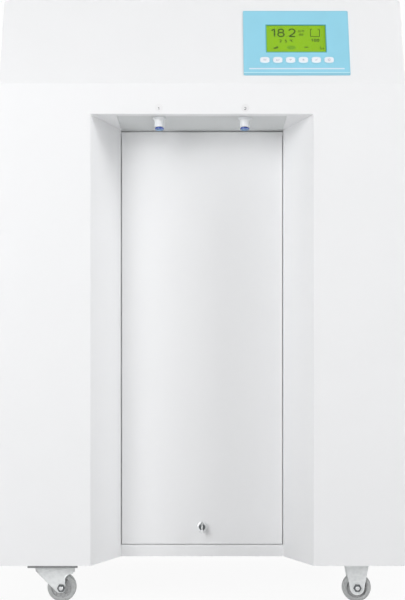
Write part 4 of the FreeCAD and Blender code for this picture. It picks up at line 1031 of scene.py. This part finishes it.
class RearBuild(bpy.types.Operator):
    """Turned tube ports and the mains inlet of the rear panel"""
    bl_idname = "water.rear"
    bl_label = "Rear fittings"

    black = (0.025, 0.025, 0.027)

    def execute(self, context):
        low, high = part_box("rear_ports")
        radius, long, count = 13, 17, 3
        profile = [(0, -16), (8.3, -16, 0.4), (8.5, 0), (radius, 0, 0.3), (radius, 3, 0.8), (10.3, 3, 0.4),
                   (9.5, 5, 1), (9.5, 15.4, 1.6), (8.2, 15.6, 0.2), (8.0, long, 0.4), (5.4, long, 0.5),
                   (4.85, 16.2, 0.3), (4.85, 5), (0, 5)]

        def grip(r, h, t):
            """Twelve ribs round the body."""
            band = (r > 9.3) & (r < 9.6)
            return np.where(band, r - 0.35 * share(np.cos(12 * t) * 2 - 0.6), r), h

        ports = [turned(profile, (x, high.y - long * MM, (low.z + high.z) / 2), "y", 1, 72, grip)
                 for x in np.linspace(low.x + radius * MM, high.x - radius * MM, count)]
        piece("tube_ports", ports, [moulded("port plastic", "plastic", 0.28)], "rear_ports")
        eased(self.with_blades(), 0.5, "power_inlet")
        eased(moulded("inlet plastic", self.black, 0.4), 0.4, "power_rocker")
        return {"FINISHED"}

    def with_blades(self):
        """Black moulding that turns to nickel-plated brass in the box that the three blades fill."""
        low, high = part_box("power_inlet")
        g = new_graph("mains inlet")
        x, y, z = g.split(g.place())
        well = (high.z + low.z) / 2 - 12 * MM
        inside = (abs(x - (low.x + high.x) / 2) < 8.2 * MM) * (abs(z - well) < 2.1 * MM) \
            * (y > high.y - 14.9 * MM) * (y < high.y - 3 * MM)
        grain = g.noise(0.7 * MM)
        return g.surface(base_color=g.mix(inside, self.black, (0.75, 0.68, 0.5)), metallic=inside,
                         roughness=0.38 + 0.1 * grain, normal=g.bump(grain, 0.01 * MM))


class StageBuild(bpy.types.Operator):
    """Floor, camera, lamps and the pale surroundings"""
    bl_idname = "water.stage"
    bl_label = "Stage"

    white, floor_grey = (1, 1, 1, 1), (0.68, 0.68, 0.68, 1)
    floor_in_mirrors, sky_in_mirrors = 0.9, 0.8
    camera_x, aim = 0.0008, np.array((0, 0, 0.6))
    lamps = (   # name, place, width in metres, watts
        ("left lamp", (-1.58, -2.94, 1.05), 1.4, 35.5),
        ("far left lamp", (-2.87, -1.54, 1.05), 1.4, 8.0),
        ("upper left lamp", (-0.8, -2.0, 1.5), 0.8, 8.5),
        ("right lamp", (2.87, -1.54, 1.05), 1.4, 16.5),
        ("upper right lamp", (2.56, -1.39, 2.1), 1.4, 39.0),
        ("back left lamp", (-2.7, 2.0, 1.4), 1.6, 36.0),
        ("back right lamp", (2.0, 2.9, 1.4), 1.6, 30.0),
        ("top lamp", (0.0, 0.9, 2.6), 1.8, 17.0),
    )

    def execute(self, context):
        scene, settings = context.scene, context.scene.water_stage
        for lamp in self.lamps:
            self.lamp(*lamp)
        self.floor(settings)
        self.surroundings(scene, settings)
        scene.view_settings.view_transform = "Standard"
        data = fill(bpy.data.cameras.new("camera"), sensor_width=36, lens=settings.lens,
                    shift_y=settings.shift, clip_end=50)
        scene.camera = fill(placed("camera", data), rotation_euler=(math.pi / 2, 0, 0),
                            location=(self.camera_x, cad_low.y - settings.distance, settings.eye))
        return {"FINISHED"}

    def lamp(self, name, spot, width, power):
        x, y, z = self.aim - spot
        data = fill(bpy.data.lights.new(name, "AREA"), shape="DISK", size=width, energy=power)
        fill(placed(name, data), location=spot, visible_camera=False,
             rotation_euler=(math.atan2(math.hypot(x, y), -z), 0, math.atan2(y, x) - math.pi / 2))

    def floor(self, settings):
        """Disc of rings whose radii grow outwards, 0.2 mm under the wheels' treads."""
        radii = np.array([0, 0.5, 1, 2, 4, 8, 14])
        rings = layers(oval((1, 1), 1, 96), radii, np.full(len(radii), -0.2 * MM))
        g = new_graph("pale floor")
        look = g.two(g.ray("Camera") * settings.floor_lift + g.ray("Glossy") * self.floor_in_mirrors,
                     ("BsdfDiffuse", {"Color": self.floor_grey}),
                     ("Emission", {"Color": self.white}))
        piece("floor", [grid(rings)], [look])

    def surroundings(self, scene, settings):
        scene.world = bpy.data.worlds.new("surroundings")
        g = Graph(scene.world)
        g.two(g.ray("Camera") + g.ray("Transmission") + g.ray("Glossy") * self.sky_in_mirrors,
              ("Background", {"Color": self.white, "Strength": settings.ambient}),
              ("Background", {"Color": self.white}))


OPERATORS = (CabinetBuild, ScrewBuild, OutletBuild, LockBuild, ConsoleBuild, KeyBuild, CasterBuild,
             TreatmentBuild, RearBuild, StageBuild)
SETTINGS = {"water_finish": FinishSettings, "water_console": ConsoleSettings,
            "water_caster": CasterSettings, "water_stage": StageSettings}


class WaterPanel(bpy.types.Panel):
    """Lists the operators and the settings"""
    bl_idname = "VIEW3D_PT_water_system"
    bl_label = "Water system"
    bl_space_type = "VIEW_3D"
    bl_region_type = "UI"
    bl_category = "Water system"

    def draw(self, context):
        for operator in OPERATORS:
            self.layout.operator(operator.bl_idname)
        for group, kind in SETTINGS.items():
            box = self.layout.box()
            for name in kind.__annotations__:
                box.prop(getattr(context.scene, group), name)


def register():
    for kind in (*SETTINGS.values(), *OPERATORS, WaterPanel):
        bpy.utils.register_class(kind)
    for group, kind in SETTINGS.items():
        setattr(bpy.types.Scene, group, PointerProperty(type=kind))


def unregister():
    for group in SETTINGS:
        delattr(bpy.types.Scene, group)
    for kind in reversed((*SETTINGS.values(), *OPERATORS, WaterPanel)):
        bpy.utils.unregister_class(kind)


def main():
    register()
    finishes["zinc"] = plated("zinc plate", "zinc")
    finishes["steel"] = plated("bright steel", "steel", 0.004, 0.2, 0.85)
    # Dark finish: the caster nuts' own dark steel, and painted shade on the lock's plug
    finishes["dark steel"] = plated("dark steel", "dark_steel", 0.004, 0.25, 0.6)
    finishes["chrome"] = polished("chrome", "chrome")
    for operator in OPERATORS:
        group, name = operator.bl_idname.split(".")
        getattr(getattr(bpy.ops, group), name)()


if __name__ == "__main__":
    main()
